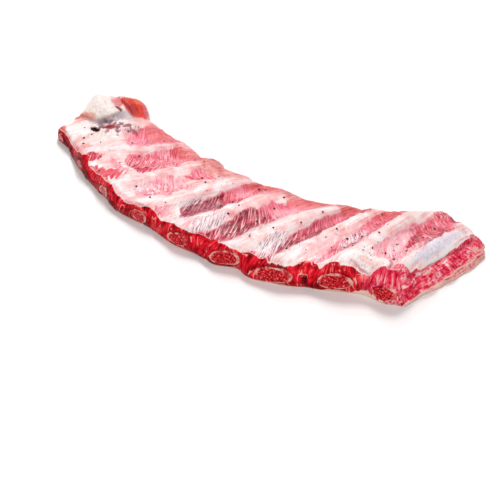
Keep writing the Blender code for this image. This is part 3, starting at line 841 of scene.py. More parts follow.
# %% Pink and silver
# place, reach and turn as above, then the strength of a pink or of a silvery cast in the fat
BLUSHES = (
    (5.17, 0.55, 0.10, 0.42, 0.0, 0.65), (6.12, 0.62, 0.08, 0.36, 0.0, 0.35),
    (7.32, 0.55, 0.17, 0.52, 0.0, 0.50), (3.70, 0.60, 0.40, 0.34, 0.0, 0.45),
    (1.70, 0.24, 0.40, 0.20, 0.0, 0.35), (2.40, 0.24, 0.30, 0.12, 0.0, 0.50),
    (4.30, 0.12, 0.30, 0.12, 0.0, 0.60), (5.10, 0.14, 0.14, 0.12, 0.0, 0.70),
    (0.72, 0.10, 0.14, 0.16, 0.0, 0.60), (1.46, 0.24, 0.10, 0.20, 0.0, 0.50),
    (2.10, 0.30, 0.14, 0.16, 0.0, 0.35),
)
SILVERS = (
    (5.20, 0.20, 0.14, 0.19, 0.0, 0.70), (6.38, 0.24, 0.16, 0.19, 16.0, 0.75),
    (5.86, 0.32, 0.11, 0.24, 14.0, 0.55), (6.88, 0.16, 0.12, 0.14, 0.0, 0.55),
    (8.90, 0.48, 0.12, 0.22, 0.0, 0.30), (7.52, 0.52, 0.12, 0.20, 0.0, 0.60),
    (4.32, 0.34, 0.07, 0.18, 0.0, 0.60), (4.80, 0.13, 0.24, 0.07, 0.0, 0.55),
    (3.40, 0.26, 0.14, 0.12, 0.0, 0.40), (1.22, 0.64, 0.14, 0.14, 0.0, 0.50),
)
CAST_RAGGED = 0.7


def cast(places):
    """The strongest of a list of soft ovals at each point."""
    return np.max([strength * oval(*place, CAST_RAGGED) for *place, strength in places], axis=0)


blush = np.maximum(cast(BLUSHES), 0.8 * halo * (1.0 - lean))
silver = cast(SILVERS)
print("casts:", len(BLUSHES), "pink and", len(SILVERS), "silver")

# %% [markdown]
# ## The knife's cut faces
# Along the front edge the knife went through bone and muscle. Between the ribs the cut meat
# springs back, so it slopes and shows bright wet red, while fat covers the rack right up to
# the saw line over each bone. The back edge was trimmed thin and has dried a little.

# %% Cut faces
# rib coordinate, then how far the red front cut reaches in on the top, in mm
CUT_RUN = ((0.8, 1.0), (1.3, 1.0), (1.5, 2.0), (1.8, 1.2), (2.02, 2.0), (2.15, 7.0), (2.28, 2.4), (2.55, 3.4),
           (2.8, 3.0), (3.0, 1.8), (3.22, 3.8), (3.5, 2.8), (3.8, 1.2), (4.0, 0.8), (4.22, 4.5), (4.45, 3.0),
           (4.7, 4.2), (5.0, 1.6), (5.20, 2.5), (5.38, 6.0), (5.60, 7.5), (5.85, 3.5), (6.04, 1.0),
           (6.23, 2.0), (6.34, 5.5), (6.50, 7.0), (6.70, 5.5), (6.90, 0.8), (7.14, 0.8), (7.26, 1.8),
           (7.35, 5.0), (7.44, 9.5), (7.58, 6.0), (7.74, 1.2), (7.82, 3.0), (7.92, 3.8), (8.08, 1.4),
           (8.24, 2.2), (8.45, 1.6), (8.62, 1.4), (8.78, 4.0), (9.05, 4.5), (9.25, 7.0), (9.4, 9.0))
# rib coordinate, then how strong the warm dry strip along the back edge is
BACK_WARM = ((0.9, 0.45), (1.7, 0.75), (2.0, 0.45), (2.5, 0.70), (3.3, 0.75), (3.9, 0.70), (4.15, 0.25),
             (4.35, 0.85), (4.8, 0.90), (5.1, 0.55), (5.35, 0.75), (5.8, 0.80), (6.2, 0.95), (6.6, 0.75),
             (6.8, 0.80), (7.02, 0.30), (7.18, 0.30), (7.4, 0.85), (7.85, 0.70), (8.0, 0.10), (8.35, 0.10),
             (8.5, 0.05), (8.85, 0.05), (9.0, 0.10))
# share across, then how far the cut of the broad end reaches in on the top, in mm
END_REACH = ((0.0, 8.0), (0.10, 7.0), (0.16, 1.0), (0.25, 0.0), (0.45, 0.0), (0.58, 1.0), (0.75, 3.0),
             (0.92, 3.0), (1.0, 1.0))
# share across, then the shares of height where the end's cut stops and where its seam of fat runs
END_TOP = ((0.0, 1.1), (0.14, 1.1), (0.24, 0.96), (0.38, 0.93), (0.52, 1.02), (0.64, 1.1), (1.0, 1.1))
END_LINE = ((0.0, 0.10), (0.25, 0.17), (0.5, 0.29), (0.75, 0.35), (1.0, 0.34))
# rib coordinate, then the share of height of the pale fat at the foot of the front cut
FOOT_FAT = ((5.6, 0.05), (8.25, 0.05), (8.38, 0.22), (8.60, 0.34), (8.74, 0.30), (8.86, 0.06), (9.6, 0.05))
print("the front cut follows", len(CUT_RUN), "values")

# %% [markdown]
# ## Maps of the cuts
# The tables become maps: where the knife's cut shows, where the meat has dried, the seams of
# fat in the broad end, and the pale fat at the foot. Noise wavers each border, since a border
# that follows its table exactly would look drawn with a ruler.

# %% Cut maps
FRONT_BAND = (-1.2, 1.4)
END_BAND = (-0.8, 1.4)
END_TOP_BAND = (-0.03, 0.05)
LINE_WANDER = 0.16
WANDER_MM = 16.0
SECOND_SEAM = 0.55
BACK_STRIP_MM, BACK_STRIP_RAGGED, BACK_BAND = 18.0, 12.0, (-2.0, 8.0)
LIP_MM, LIP_BAND, LIP_LAST_RIB = 3.0, (-1.0, 2.0), 4.6
WARM_BACK, WARM_LEFT, WARM_LIP = 0.9, 0.8, 0.9
RIM_BAND = (0.0, 0.06)
SHADED_RIB, SHADED_FOOT, SHADED_TIP = 5.0, 0.45, 0.30

ragged_edge = (bundle - 0.5) + 0.6 * (mottle - 0.5)
front_reach = through(CUT_RUN, rib) * (1.0 + 0.6 * ragged_edge) - in_from_front
end_reach = through(END_REACH, across) * (1.0 + 1.6 * ragged_edge) - from_right * RIB_PITCH
top_cut = np.maximum(step_up(front_reach, *FRONT_BAND), step_up(end_reach, *END_BAND))
cut = np.where(on_front, 1.0, np.where(on_top, top_cut, 0.0))
end_cut = step_up(through(END_TOP, across) + 0.25 * ragged_edge - up, *END_TOP_BAND)
cut = np.where(on_right, end_cut, cut)
wander = noise_in(edge_run, nowhere, nowhere, WANDER_MM, "wander") - 0.5
line_up = through(END_LINE, across) + LINE_WANDER * wander
below_line = np.where(on_right, step_up(line_up - up, 0.0, 0.05), 0.0)
first_seam = 1.0 - step_up(np.abs(up - line_up), 0.02, 0.05)
second_seam = 0.7 * (1.0 - step_up(np.abs(up - SECOND_SEAM * line_up), 0.015, 0.04))
seam = np.where(on_right, np.maximum(first_seam, second_seam), 0.0)
cut = cut * (1.0 - 0.45 * below_line)
back_strip = step_up(BACK_STRIP_MM + BACK_STRIP_RAGGED * (bundle - 0.5) - in_from_back, *BACK_BAND)
front_lip = WARM_LIP * step_up(LIP_MM - in_from_front, *LIP_BAND) * step_up(LIP_LAST_RIB - rib, 0.0, 0.4)
warm = np.where(on_top, np.maximum(back_strip * through(BACK_WARM, rib), front_lip), 0.0)
warm = np.where(on_back, WARM_BACK, np.where(on_left, WARM_LEFT, warm))
warm = np.maximum(warm, below_line) * (1.0 - knob)
foot_fat = through(FOOT_FAT, rib) + 0.5 * (bundle - 0.5) * step_up(rib, 8.2, 8.5)
foot_fat = np.where(on_front, foot_fat, FOOT_FAT[0][1])
rim = np.where(on_front | on_right, 1.0 - step_up(up + 0.05 * (mottle - 0.5) - foot_fat, *RIM_BAND), 0.0)
rim = rim * np.where(on_front, step_up(rib, 5.9, 6.8) * 0.8 + 0.1, 0.8)
rosy = step_up(rib, 8.3, 8.8) * cut
shade = np.where(on_front, np.maximum(step_up(SHADED_RIB - rib, 0.0, 1.4), SHADED_FOOT * (1.0 - up)), 0.0)
shade = np.where(on_right, SHADED_TIP * step_up(across, 0.70, 0.95), shade)
slant = 0.25 * np.sin(2.0 * pi * rib)
slice_fine = np.where(on_right, height_mm - 0.1 * flat_y, flat_x + slant * height_mm)
slice_slow = np.where(on_right, flat_y, height_mm + 0.7 * flat_y)
print("cut face covers", round(100.0 * float(cut.mean())), "% of the points")

# %% [markdown]
# ## Relief
# The points are pushed along their normals. Fat swells over the ribs and muscle sinks below
# it, bundles of fibre make low ridges, and the cut faces are rougher. Relief in the mesh, not
# only in the shader, keeps the surface true from every side.

# %% Relief
# rises and depths in millimetres
BED_DEPTH = 1.9
RIDGE_RISE = 1.0
FIBRE_RISE = 0.60
BUNDLE_RISE = 1.20
MOTTLE_RISE = 1.10
CRUMB_RISE = 0.8
COARSE_RISE, COARSER_BEHIND = 0.9, 1.2
GRISTLE_RISE, PIT_DEPTH, FOOT_DEPTH, SEAM_RISE = 0.9, 1.0, 1.3, 0.5
END_SWELL, END_LUMPS, FRONT_LUMPS = 1.4, 3.5, 1.8
LUMP_SIZE = (10.0, 7.0, 1.0)
CORNER_DROP, CORNER_REACH = 3.0, 8.0
QUIET_HEIGHT = (0.2, 2.0)

meat.data.vertices.foreach_set("co", places.ravel())
meat.data.update()
normals = read_rows(meat.data, "normal")
inner = step_up(in_from_front, 2.0, 12.0) * step_up(in_from_back, 2.0, 22.0) * step_up(rib, 0.9, 1.5)
relief = -BED_DEPTH * bed * (1.0 - cut) * inner
relief += RIDGE_RISE * (ridge_wave(rib, across) - 0.2) * np.where(on_top, inner, 0.0)
relief += FIBRE_RISE * (fibre - 0.5) * (0.25 + lean)
relief += BUNDLE_RISE * (bundle - 0.5) * (0.3 + 0.9 * lean) * (1.0 - 0.7 * fat_lobe)
relief += MOTTLE_RISE * (mottle - 0.5) * (1.0 - 0.6 * fat_lobe)
relief += CRUMB_RISE * (crumb - 0.5) * cut
coarse = COARSE_RISE + COARSER_BEHIND * step_up(across, 0.60, 0.75)
relief += coarse * (crumb - 0.5) * step_up(rib, 8.0, 8.4) * lean
relief += lift + GRISTLE_RISE * gristle_flecks - PIT_DEPTH * pit - FOOT_DEPTH * knob_foot + SEAM_RISE * seam
lump = noise_in(edge_run, height_mm, nowhere, LUMP_SIZE, "lump") - 0.5
relief += np.where(on_right, END_SWELL * np.sin(pi * np.clip(up, 0.0, 1.0)) + END_LUMPS * lump, 0.0)
relief += np.where(on_front, FRONT_LUMPS * lump, 0.0)
relief -= CORNER_DROP * fade(in_from_front, CORNER_REACH) * fade(from_right * RIB_PITCH, CORNER_REACH)
relief = relief * np.where(up < AT_EDGE, 0.0, step_up(height_mm, *QUIET_HEIGHT))
shaped = places + normals * (relief * MM)[:, None]
shaped[:, 2] = np.maximum(shaped[:, 2], 0.0)
print("relief from", round(float(relief.min()), 2), "to", round(float(relief.max()), 2), "mm")

# %% [markdown]
# ## Sockets for the bones
# Each bone is a piece of its own, sawn flush with the meat. No bone is a true oval, so its
# outline waves a little. The surface dips inside that outline, so that the bone's end shows
# and the meat closes round it.

# %% Bone sizes and sockets
# front width, back width and thickness of each bone in millimetres
RIB_BONES = ((9.0, 8.0, 6.2), (10.5, 9.5, 7.8), (12.0, 11.0, 8.4), (14.0, 12.0, 9.0),
             (16.5, 12.5, 9.8), (19.5, 13.0, 10.2), (24.0, 13.5, 10.8), (20.5, 14.0, 12.0),
             (18.0, 13.0, 11.0))
BONE_SLIMMING = 0.85
BONE_TAPER = 0.6
BONE_UNDERLAY = 2.6
BONE_RISE = 2.2
AXIS_STEP = 0.02
OUTLINE_WAVE = 0.042
# waves round the outline, how each bone's start is shifted, and how strong they are
OUTLINE_WAVES = ((2.0, 1.7, 1.0), (3.0, 2.9, 0.8))
SOCKET_DEPTH = 1.8
SOCKET_BAND = (0.90, 1.0)
NEAR_RIB, NEAR_EDGE = 0.6, 0.06


def bone_axis(number, share):
    """Centre line of a rib bone in metres, at a share of the way across."""
    inner = np.clip(share, 0.0, 1.0)
    rib_line = number + (FIRST_RIB_BOW * np.sin(pi * inner) if number == 1 else 0.0 * inner)
    thickness = RIB_BONES[number - 1][2]
    arch = BONE_RISE * np.sin(pi * inner)
    x, y = plan_point(rib_line, share, 0.0)
    height = BONE_UNDERLAY + 0.5 * thickness + arch
    return np.stack([x + PLAN_SHIFT[0], y + PLAN_SHIFT[1], height], axis=-1) * MM


def bone_frame(number, share):
    """Centre, sideways direction, half width and half thickness of a bone in metres."""
    front_width, back_width, thickness = RIB_BONES[number - 1]
    centre = bone_axis(number, share)
    ahead = bone_axis(number, share + AXIS_STEP) - bone_axis(number, share - AXIS_STEP)
    side = np.stack([-ahead[..., 1], ahead[..., 0], np.zeros_like(ahead[..., 0])], axis=-1)
    side = side / np.linalg.norm(side, axis=-1, keepdims=True)
    inner = np.clip(share, 0.0, 1.0)
    half_width = 0.5 * (front_width + (back_width - front_width) * inner ** BONE_TAPER) * MM
    half_thickness = 0.5 * thickness * (1.0 + (BONE_SLIMMING - 1.0) * inner) * MM
    return centre, side, half_width, half_thickness


def bone_outline(number, angle):
    """How far a bone's outline swells or dips from an oval, round its end."""
    return 1.0 + OUTLINE_WAVE * sum(power * np.sin(turns * angle + shift * number)
                                    for turns, shift, power in OUTLINE_WAVES)


socket = np.zeros(len(block))
for number in range(1, len(RIB_BONES) + 1):
    for share, face in ((0.0, on_front), (1.0, on_back)):
        centre, side, half_width, half_thickness = bone_frame(number, np.array(share))
        offset = shaped - centre
        sideways = (offset * side).sum(axis=1) / half_width
        upwards = offset[:, 2] / half_thickness
        distance = np.hypot(sideways, upwards) / bone_outline(number, np.arctan2(upwards, sideways))
        near = (np.abs(rib - number) < NEAR_RIB) & (face | (on_top & (np.abs(across - share) < NEAR_EDGE)))
        socket = np.maximum(socket, np.where(near, 1.0 - step_up(distance, *SOCKET_BAND), 0.0))
shaped = shaped - normals * (socket * SOCKET_DEPTH * MM)[:, None]
meat.data.vertices.foreach_set("co", shaped.ravel())
meat.data.update()
print("sockets cut:", len(RIB_BONES) * 2)

# %% [markdown]
# ## Store the tissue maps
# Shaders read named attributes, so each map goes on the mesh as one. The flat underside needs
# no cells, so its faces are joined into one, which saves a third of the triangles.

# %% Attributes and underside
FLOOR_LEVEL = 1e-6
MOST_CORNERS = 8


def store(mesh, name, values):
    """Save one number, or one row of three, for each point of a mesh."""
    values = np.asarray(values, dtype=np.float32)
    kind, field = ("FLOAT", "value") if values.ndim == 1 else ("FLOAT_VECTOR", "vector")
    mesh.attributes.new(name, kind, "POINT").data.foreach_set(field, values.ravel())


POINT_MAPS = {"lean": lean, "tone": tone, "veil": veil, "fleck": fleck, "strand": strand, "blush": blush,
              "silver": silver, "tint_strength": tint_strength, "cut": cut, "warm": warm, "rosy": rosy,
              "shade": shade, "seam": seam, "rim": rim, "pit": pit, "foot": knob_foot}
ROW_MAPS = {"grain": np.stack((grain_run, grain_side, up * 4.0), axis=-1), "tint": tint,
            "lay": np.stack((flat_x, flat_y, height_mm), axis=-1),
            "slice": np.stack((slice_fine, nowhere, slice_slow), axis=-1)}
for name, values in {**POINT_MAPS, **ROW_MAPS}.items():
    store(meat.data, name, values)

underside = bmesh.new()
underside.from_mesh(meat.data)
flat = [face for face in underside.faces if face.calc_center_median().z < FLOOR_LEVEL]
bmesh.ops.dissolve_faces(underside, faces=flat, use_verts=False)
below = [face for face in underside.faces if len(face.verts) > MOST_CORNERS]
bmesh.ops.triangulate(underside, faces=below)
underside.to_mesh(meat.data)
underside.free()
meat.data.shade_smooth()
print("surface has", sum(len(p.vertices) - 2 for p in meat.data.polygons), "triangles")

# %% [markdown]
# ## Helpers for finishes
# A finish is a tree of small steps, and the same few come up again and again: read a map from
# the mesh, add or multiply, run a value through a ramp of colours, lay one colour over
# another, and make noise that is stretched one way, as muscle fibres are.

# %% Finish helpers
def reading(tree, name, output="Fac"):
    """A point attribute, as a value or as a vector."""
    return add_node(tree, "ShaderNodeAttribute", {"attribute_name": name}).outputs[output]


def reckon(tree, operation, first, *others):
    """Math steps on sockets or values, one after the other."""
    for other in others:
        first = add_node(tree, "ShaderNodeMath", {"operation": operation}, in0=first, in1=other).outputs[0]
    return first


def plus(tree, *values):
    """Sum of values."""
    return reckon(tree, "ADD", *values)


def times(tree, *values):
    """Product of values."""
    return reckon(tree, "MULTIPLY", *values)


def swing(tree, value, reach):
    """A noise value centred on 0 and stretched to a reach."""
    return times(tree, reckon(tree, "SUBTRACT", value, 0.5), reach)


def between(tree, value, low, high):
    """0 below low and 1 above high, smooth between."""
    node = add_node(tree, "ShaderNodeMapRange", {"interpolation_type": "SMOOTHSTEP"}, Value=value,
                    From_Min=low, From_Max=high)
    return node.outputs["Result"]


def mix(tree, factor, first, second, blend="MIX"):
    """Mix two colours by a factor; each may be a socket or a value."""
    return add_node(tree, "ShaderNodeMix", {"data_type": "RGBA", "blend_type": blend},
                    in0=factor, in6=first, in7=second).outputs[2]


def ramp(tree, factor, stops):
    """A colour ramp from (place, hex colour) stops."""
    node = add_node(tree, "ShaderNodeValToRGB", Fac=factor)
    elements = node.color_ramp.elements
    for element, (place, colour) in zip((elements[0], elements[1]), (stops[0], stops[-1])):
        element.position, element.color = place, linear(colour)
    for place, colour in stops[1:-1]:
        elements.new(place).color = linear(colour)
    return node.outputs["Color"]


def noise_on(tree, vector, scale, detail, roughness=0.5):
    """Noise on a vector at a scale."""
    return add_node(tree, "ShaderNodeTexNoise", Vector=vector, Scale=scale, Detail=detail,
                    Roughness=roughness).outputs["Fac"]


def stretched(tree, vector, scales, detail, roughness=0.55):
    """Noise on a vector that is scaled differently each way."""
    scaled = add_node(tree, "ShaderNodeVectorMath", {"operation": "MULTIPLY"}, in0=vector, in1=scales)
    return noise_on(tree, scaled.outputs[0], 1.0, detail, roughness)


print("finish helpers ready")

# %% [markdown]
# ## Finish: raw pork
# Raw pork is translucent and wet. Fat is nearly white with a pink cast, lean runs from pink to
# deep red, and a thin membrane makes some of it purplish and silvery. The shader starts from
# fat and lays lean over it, with fibre noise stretched along the grain for streaks and flecks.

# %% Colours and grain sizes
FIBRE_MM = 0.55
STRAND_MM = 1.05
FLECK_MM = 2.0
STREAK_MM = 1.8
CUT_STRAND_MM = 1.4
SEPTUM_MM = 5.0
BROAD_SCALE = (110.0, 110.0, 110.0)
SPECKLE_SCALE = (700.0, 700.0, 700.0)
# nearly white fat, pinker where it is thin, with fine pink fibres
FAT = ((0.28, "#EFB8B8"), (0.40, "#F7D6D2"), (0.50, "#FAE8E6"), (0.62, "#FCF6F5"), (0.75, "#F7F5F8"))
FAT_FIBRE = "#E6AEB4"
# lean that shows through a thin layer of fat
BLUSH = ((0.30, "#EA7E88"), (0.48, "#F4A8AA"), (0.66, "#FACBC8"), (0.80, "#FBE4E0"))
# bare lean from pale pink to deep red
LEAN = ((0.0, "#FDCED2"), (0.25, "#F9A6B2"), (0.45, "#F38094"), (0.65, "#E24E66"), (0.85, "#BC1C3A"),
        (1.0, "#860A22"))
# purplish lean under a thin membrane, and the silvery stripes of the membrane itself
VEILED = ((0.36, "#58041E"), (0.46, "#92142F"), (0.55, "#B23654"), (0.63, "#CA6E86"), (0.73, "#F0CAD4"))
SILVER = ((0.36, "#7C4460"), (0.44, "#BC98A6"), (0.50, "#EEDCE0"), (0.58, "#FFFAF8"))
# the strip along the back that has dried a little
DRIED = ((0.28, "#A82C2C"), (0.42, "#CE4E4A"), (0.54, "#E06E66"), (0.68, "#EC968A"))
# a faint unevenness over every tinted patch
UNEVEN = ((0.36, "#D2C2C2"), (0.50, "#F8F4F4"), (0.60, "#FFFFFF"))
# the wet red front cut, and the rosier cut of the broad end with its pale flecks
FRESH_CUT = ((0.37, "#4C0006"), (0.44, "#960412"), (0.50, "#D00A20"), (0.57, "#F02436"), (0.66, "#FA7C7A"))
ROSY_CUT = ((0.40, "#A40424"), (0.46, "#E02244"), (0.51, "#F44E6A"), (0.56, "#FC9AA4"), (0.61, "#FFEEEA"))
CUT_SHADOW, SEPTUM, FRAYED_FAT = "#4A0006", "#F4BEB2", "#FFF0EA"
# pale seams and rim of fat, then painted shade at the knob's foot and in the pit
SEAM, FOOT_RIM, KNOB_SHADOW, PIT_SHADE = "#F6CFC0", "#F6D6C6", "#8A747A", "#160503"
# a moist body under a clear wet coat, whose weight is set on each point
PORK_SURFACE = {"Subsurface Weight": 0.10, "Subsurface Radius": (1.0, 0.35, 0.25), "Subsurface Scale": 0.002,
                "Specular IOR Level": 0.04, "Coat Roughness": 0.07, "IOR": 1.4}
COAT_WEIGHT = 0.40
ROUGHNESS, CUT_SMOOTHER, ROUGHNESS_SWING = 0.40, 0.12, 0.4
print("fibres are", FIBRE_MM, "mm apart")

# %% [markdown]
# ## The raw pork shader
# The layers follow the tissue from the inside out: fat first, lean in it, membrane on it, and
# tinted patches over both. The knife came last, so its cuts cover everything. Each factor
# between two layers is a map from the mesh, broken up by noise.

# %% Raw pork finish
def raw_pork(material):
    """Wet raw pork: fat, lean, membrane and fresh cuts from the tissue maps."""
    tree, shader = shader_of(material, PORK_SURFACE)
    maps = {name: reading(tree, name) for name in POINT_MAPS}
    grain_at, tint_at, lay_at, slice_at = (reading(tree, name, "Vector") for name in ROW_MAPS)
    object_at = add_node(tree, "ShaderNodeTexCoord").outputs["Object"]
    fine = stretched(tree, grain_at, (0.09 / FIBRE_MM, 1.0 / FIBRE_MM, 1.0), 3.0, 0.6)
    strands = stretched(tree, grain_at, (0.07 / STRAND_MM, 1.0 / STRAND_MM, 1.0), 2.0, 0.5)
    flecks = stretched(tree, grain_at, (0.40 / FLECK_MM, 1.0 / FLECK_MM, 1.0), 3.0, 0.65)
    streaks = stretched(tree, lay_at, (1.0 / STREAK_MM, 0.09 / STREAK_MM, 0.1), 3.0, 0.6)
    broad = stretched(tree, object_at, BROAD_SCALE, 3.0)
    speckle = stretched(tree, object_at, SPECKLE_SCALE, 2.0)

    fat_tone = plus(tree, broad, swing(tree, streaks, 0.8), swing(tree, fine, 0.5))
    fat = ramp(tree, fat_tone, FAT)
    fat = mix(tree, times(tree, between(tree, fine, 0.54, 0.70), 0.3), fat, linear(FAT_FIBRE))
    fat = mix(tree, maps["blush"], fat, ramp(tree, fat_tone, BLUSH))

    stringy = plus(tree, times(tree, maps["strand"], 0.9), 0.3)
    hatching = plus(tree, swing(tree, fine, 1.5), swing(tree, strands, -1.5))
    tone_here = plus(tree, maps["tone"], times(tree, hatching, stringy), swing(tree, broad, 0.8))
    veiled = ramp(tree, plus(tree, fine, swing(tree, strands, 0.6)), VEILED)
    lean_colour = mix(tree, maps["veil"], ramp(tree, tone_here, LEAN), veiled)
    # white flecks and strands on the lean: fat marbling and sinew, and in part painted glints of the wet
    # surface
    fat_whites_and_glints = reckon(tree, "MAXIMUM", times(tree, between(tree, flecks, 0.50, 0.60), maps["fleck"]),
                        times(tree, between(tree, strands, 0.53, 0.62), maps["strand"]))
    frayed = plus(tree, maps["lean"], plus(tree, swing(tree, fine, 0.9), swing(tree, strands, 0.9)))
    lean_here = times(tree, between(tree, frayed, 0.30, 0.66), reckon(tree, "SUBTRACT", 1.0, fat_whites_and_glints))
    colour = mix(tree, lean_here, fat, lean_colour)
    silvery = ramp(tree, plus(tree, fine, swing(tree, strands, 0.5)), SILVER)
    colour = mix(tree, maps["silver"], colour, silvery)
    colour = mix(tree, times(tree, maps["warm"], 0.9), colour, ramp(tree, fat_tone, DRIED))
    uneven = ramp(tree, plus(tree, times(tree, fine, 0.5), times(tree, speckle, 0.5)), UNEVEN)
    colour = mix(tree, maps["tint_strength"], colour, mix(tree, 1.0, tint_at, uneven, "MULTIPLY"))

    cut_strand = stretched(tree, slice_at, (1.0 / CUT_STRAND_MM, 1.0, 0.12 / CUT_STRAND_MM), 3.0, 0.6)
    cut_sheet = stretched(tree, slice_at, (1.0 / SEPTUM_MM, 1.0, 0.22 / SEPTUM_MM), 1.0)
    cut_tone = plus(tree, times(tree, cut_strand, 0.55), times(tree, broad, 0.45))
    rosy_cut = ramp(tree, plus(tree, times(tree, cut_tone, 0.6), times(tree, flecks, 0.4)), ROSY_CUT)
    cut_colour = mix(tree, maps["rosy"], ramp(tree, cut_tone, FRESH_CUT), rosy_cut)
    cut_colour = mix(tree, times(tree, maps["shade"], 0.6), cut_colour, linear(CUT_SHADOW))
    off_sheet = add_node(tree, "ShaderNodeMath", {"operation": "ABSOLUTE"}, in0=swing(tree, cut_sheet, 1.0))
    septum = times(tree, between(tree, off_sheet.outputs[0], 0.014, 0.004), between(tree, broad, 0.46, 0.54))
    cut_colour = mix(tree, times(tree, septum, 0.8), cut_colour, linear(SEPTUM))
    frayed_cut = plus(tree, maps["cut"], plus(tree, swing(tree, fine, 0.8), swing(tree, flecks, 0.6)))
    beside_cut = between(tree, maps["cut"], 0.02, 0.14)
    frill = times(tree, between(tree, frayed_cut, 0.22, 0.36), beside_cut, 0.7)
    colour = mix(tree, frill, colour, linear(FRAYED_FAT))
    colour = mix(tree, between(tree, frayed_cut, 0.40, 0.56), colour, cut_colour)
    # pale seams and rim of fat over everything, then painted shade at the knob's foot and in the pit
    for factor, over in ((maps["seam"], SEAM), (maps["rim"], FOOT_RIM),
                         (times(tree, maps["foot"], 0.5), KNOB_SHADOW), (maps["pit"], PIT_SHADE)):
        colour = mix(tree, factor, colour, linear(over))
    tree.links.new(colour, shader.inputs["Base Color"])

    gloss = reckon(tree, "SUBTRACT", ROUGHNESS, times(tree, maps["cut"], CUT_SMOOTHER))
    tree.links.new(plus(tree, gloss, swing(tree, speckle, ROUGHNESS_SWING)), shader.inputs["Roughness"])
    bump_height = plus(tree, times(tree, strands, stringy, 0.8), times(tree, fine, 0.4),
                       times(tree, speckle, 0.5))
    bump = add_node(tree, "ShaderNodeBump", Height=bump_height, Strength=0.7, Distance=0.0011)
    tree.links.new(bump.outputs["Normal"], shader.inputs["Normal"])
    tree.links.new(bump.outputs["Normal"], shader.inputs["Coat Normal"])
    dry = reckon(tree, "MAXIMUM", times(tree, maps["cut"], 0.8), maps["warm"], maps["pit"])
    wet = times(tree, reckon(tree, "SUBTRACT", 1.0, dry), COAT_WEIGHT)
    tree.links.new(wet, shader.inputs["Coat Weight"])


raw_pork(meat_finish)
print("raw pork finish has", len(meat_finish.node_tree.nodes), "nodes")

# %% [markdown]
# ## The rib bones
# Nine bones run through the rack and show only where the saw cut them: a pale hard rim round
# a dark red spongy middle. They repeat, so a Geometry Nodes tree sets out nine plain bars.
# Each bar is then bent to its rib and its ends are laid on the cut faces of the meat.

# %% Nine bars
BAR_SPACING = 4.0
BAR_SIDES = 64
BAR_RINGS = 5
CAP_RINGS = 14


def bars_tree():
    """A row of closed unit bars that stand upright, a set distance apart."""
    tree, given, out = new_tree("row_of_bars", (("Count", "Int"), ("Spacing", "Float"), ("Sides", "Int"),
                                                ("Rings", "Int"), ("Cap Rings", "Int"),
                                                ("Finish", "Material")))
    bar = add_node(tree, "GeometryNodeMeshCylinder", {"fill_type": "TRIANGLE_FAN"}, Radius=1.0, Depth=1.0,
                   Vertices=given.outputs["Sides"], Side_Segments=given.outputs["Rings"],
                   Fill_Segments=given.outputs["Cap Rings"])
    step = add_node(tree, "ShaderNodeCombineXYZ", X=given.outputs["Spacing"])
    row = add_node(tree, "GeometryNodeMeshLine", Count=given.outputs["Count"], Offset=step.outputs["Vector"])
    copies = add_node(tree, "GeometryNodeInstanceOnPoints", Points=row.outputs["Mesh"],
                      Instance=bar.outputs["Mesh"])
    return close_tree(tree, copies.outputs["Instances"], given, out)


bone_finish = bpy.data.materials.new("sawn_rib_bone")
bones = grow("rib_bone_ends", bpy.data.meshes.new("no_bars"), bars_tree(),
             {"Count": len(RIB_BONES), "Spacing": BAR_SPACING, "Sides": BAR_SIDES, "Rings": BAR_RINGS,
              "Cap Rings": CAP_RINGS, "Finish": bone_finish})
bar_points = read_rows(bones.data)
print("bars have", len(bar_points), "points")

# %% [markdown]
# ## Bend the bars and saw their ends
# A point on a cut face sits where the meat's face is: straight up the upright part and then
# in along its rounded shoulder. The hard rim stands a little proud, the middle is pitted.

# %% Bones in place
RIM_WIDTH = 0.55
RIM_LIFT = 0.15
MARROW_PIT = 0.7
RIM_EASE = (0.10, 0.02)
PIT_MM = 1.1
PIT_FLOOR = 0.35
STEEPEST = 0.98


def set_back(rib_here, share, height):
    """How far in a cut face lies from the slab's edge at a height, and its share of the upright."""
    end = np.full_like(rib_here, share)
    slope, upright = front_shape(rib_here, end)
    if share > 0.5:
        slope, upright = BACK_SLOPE, BACK_UPRIGHT
    full = top_height(rib_here, end)
    part = np.clip((height / full - upright) / (1.0 - upright), 0.0, STEEPEST)
    return slope * (1.0 - np.sqrt(1.0 - part * part)), np.clip(height / (full * upright), 0.0, 1.0)


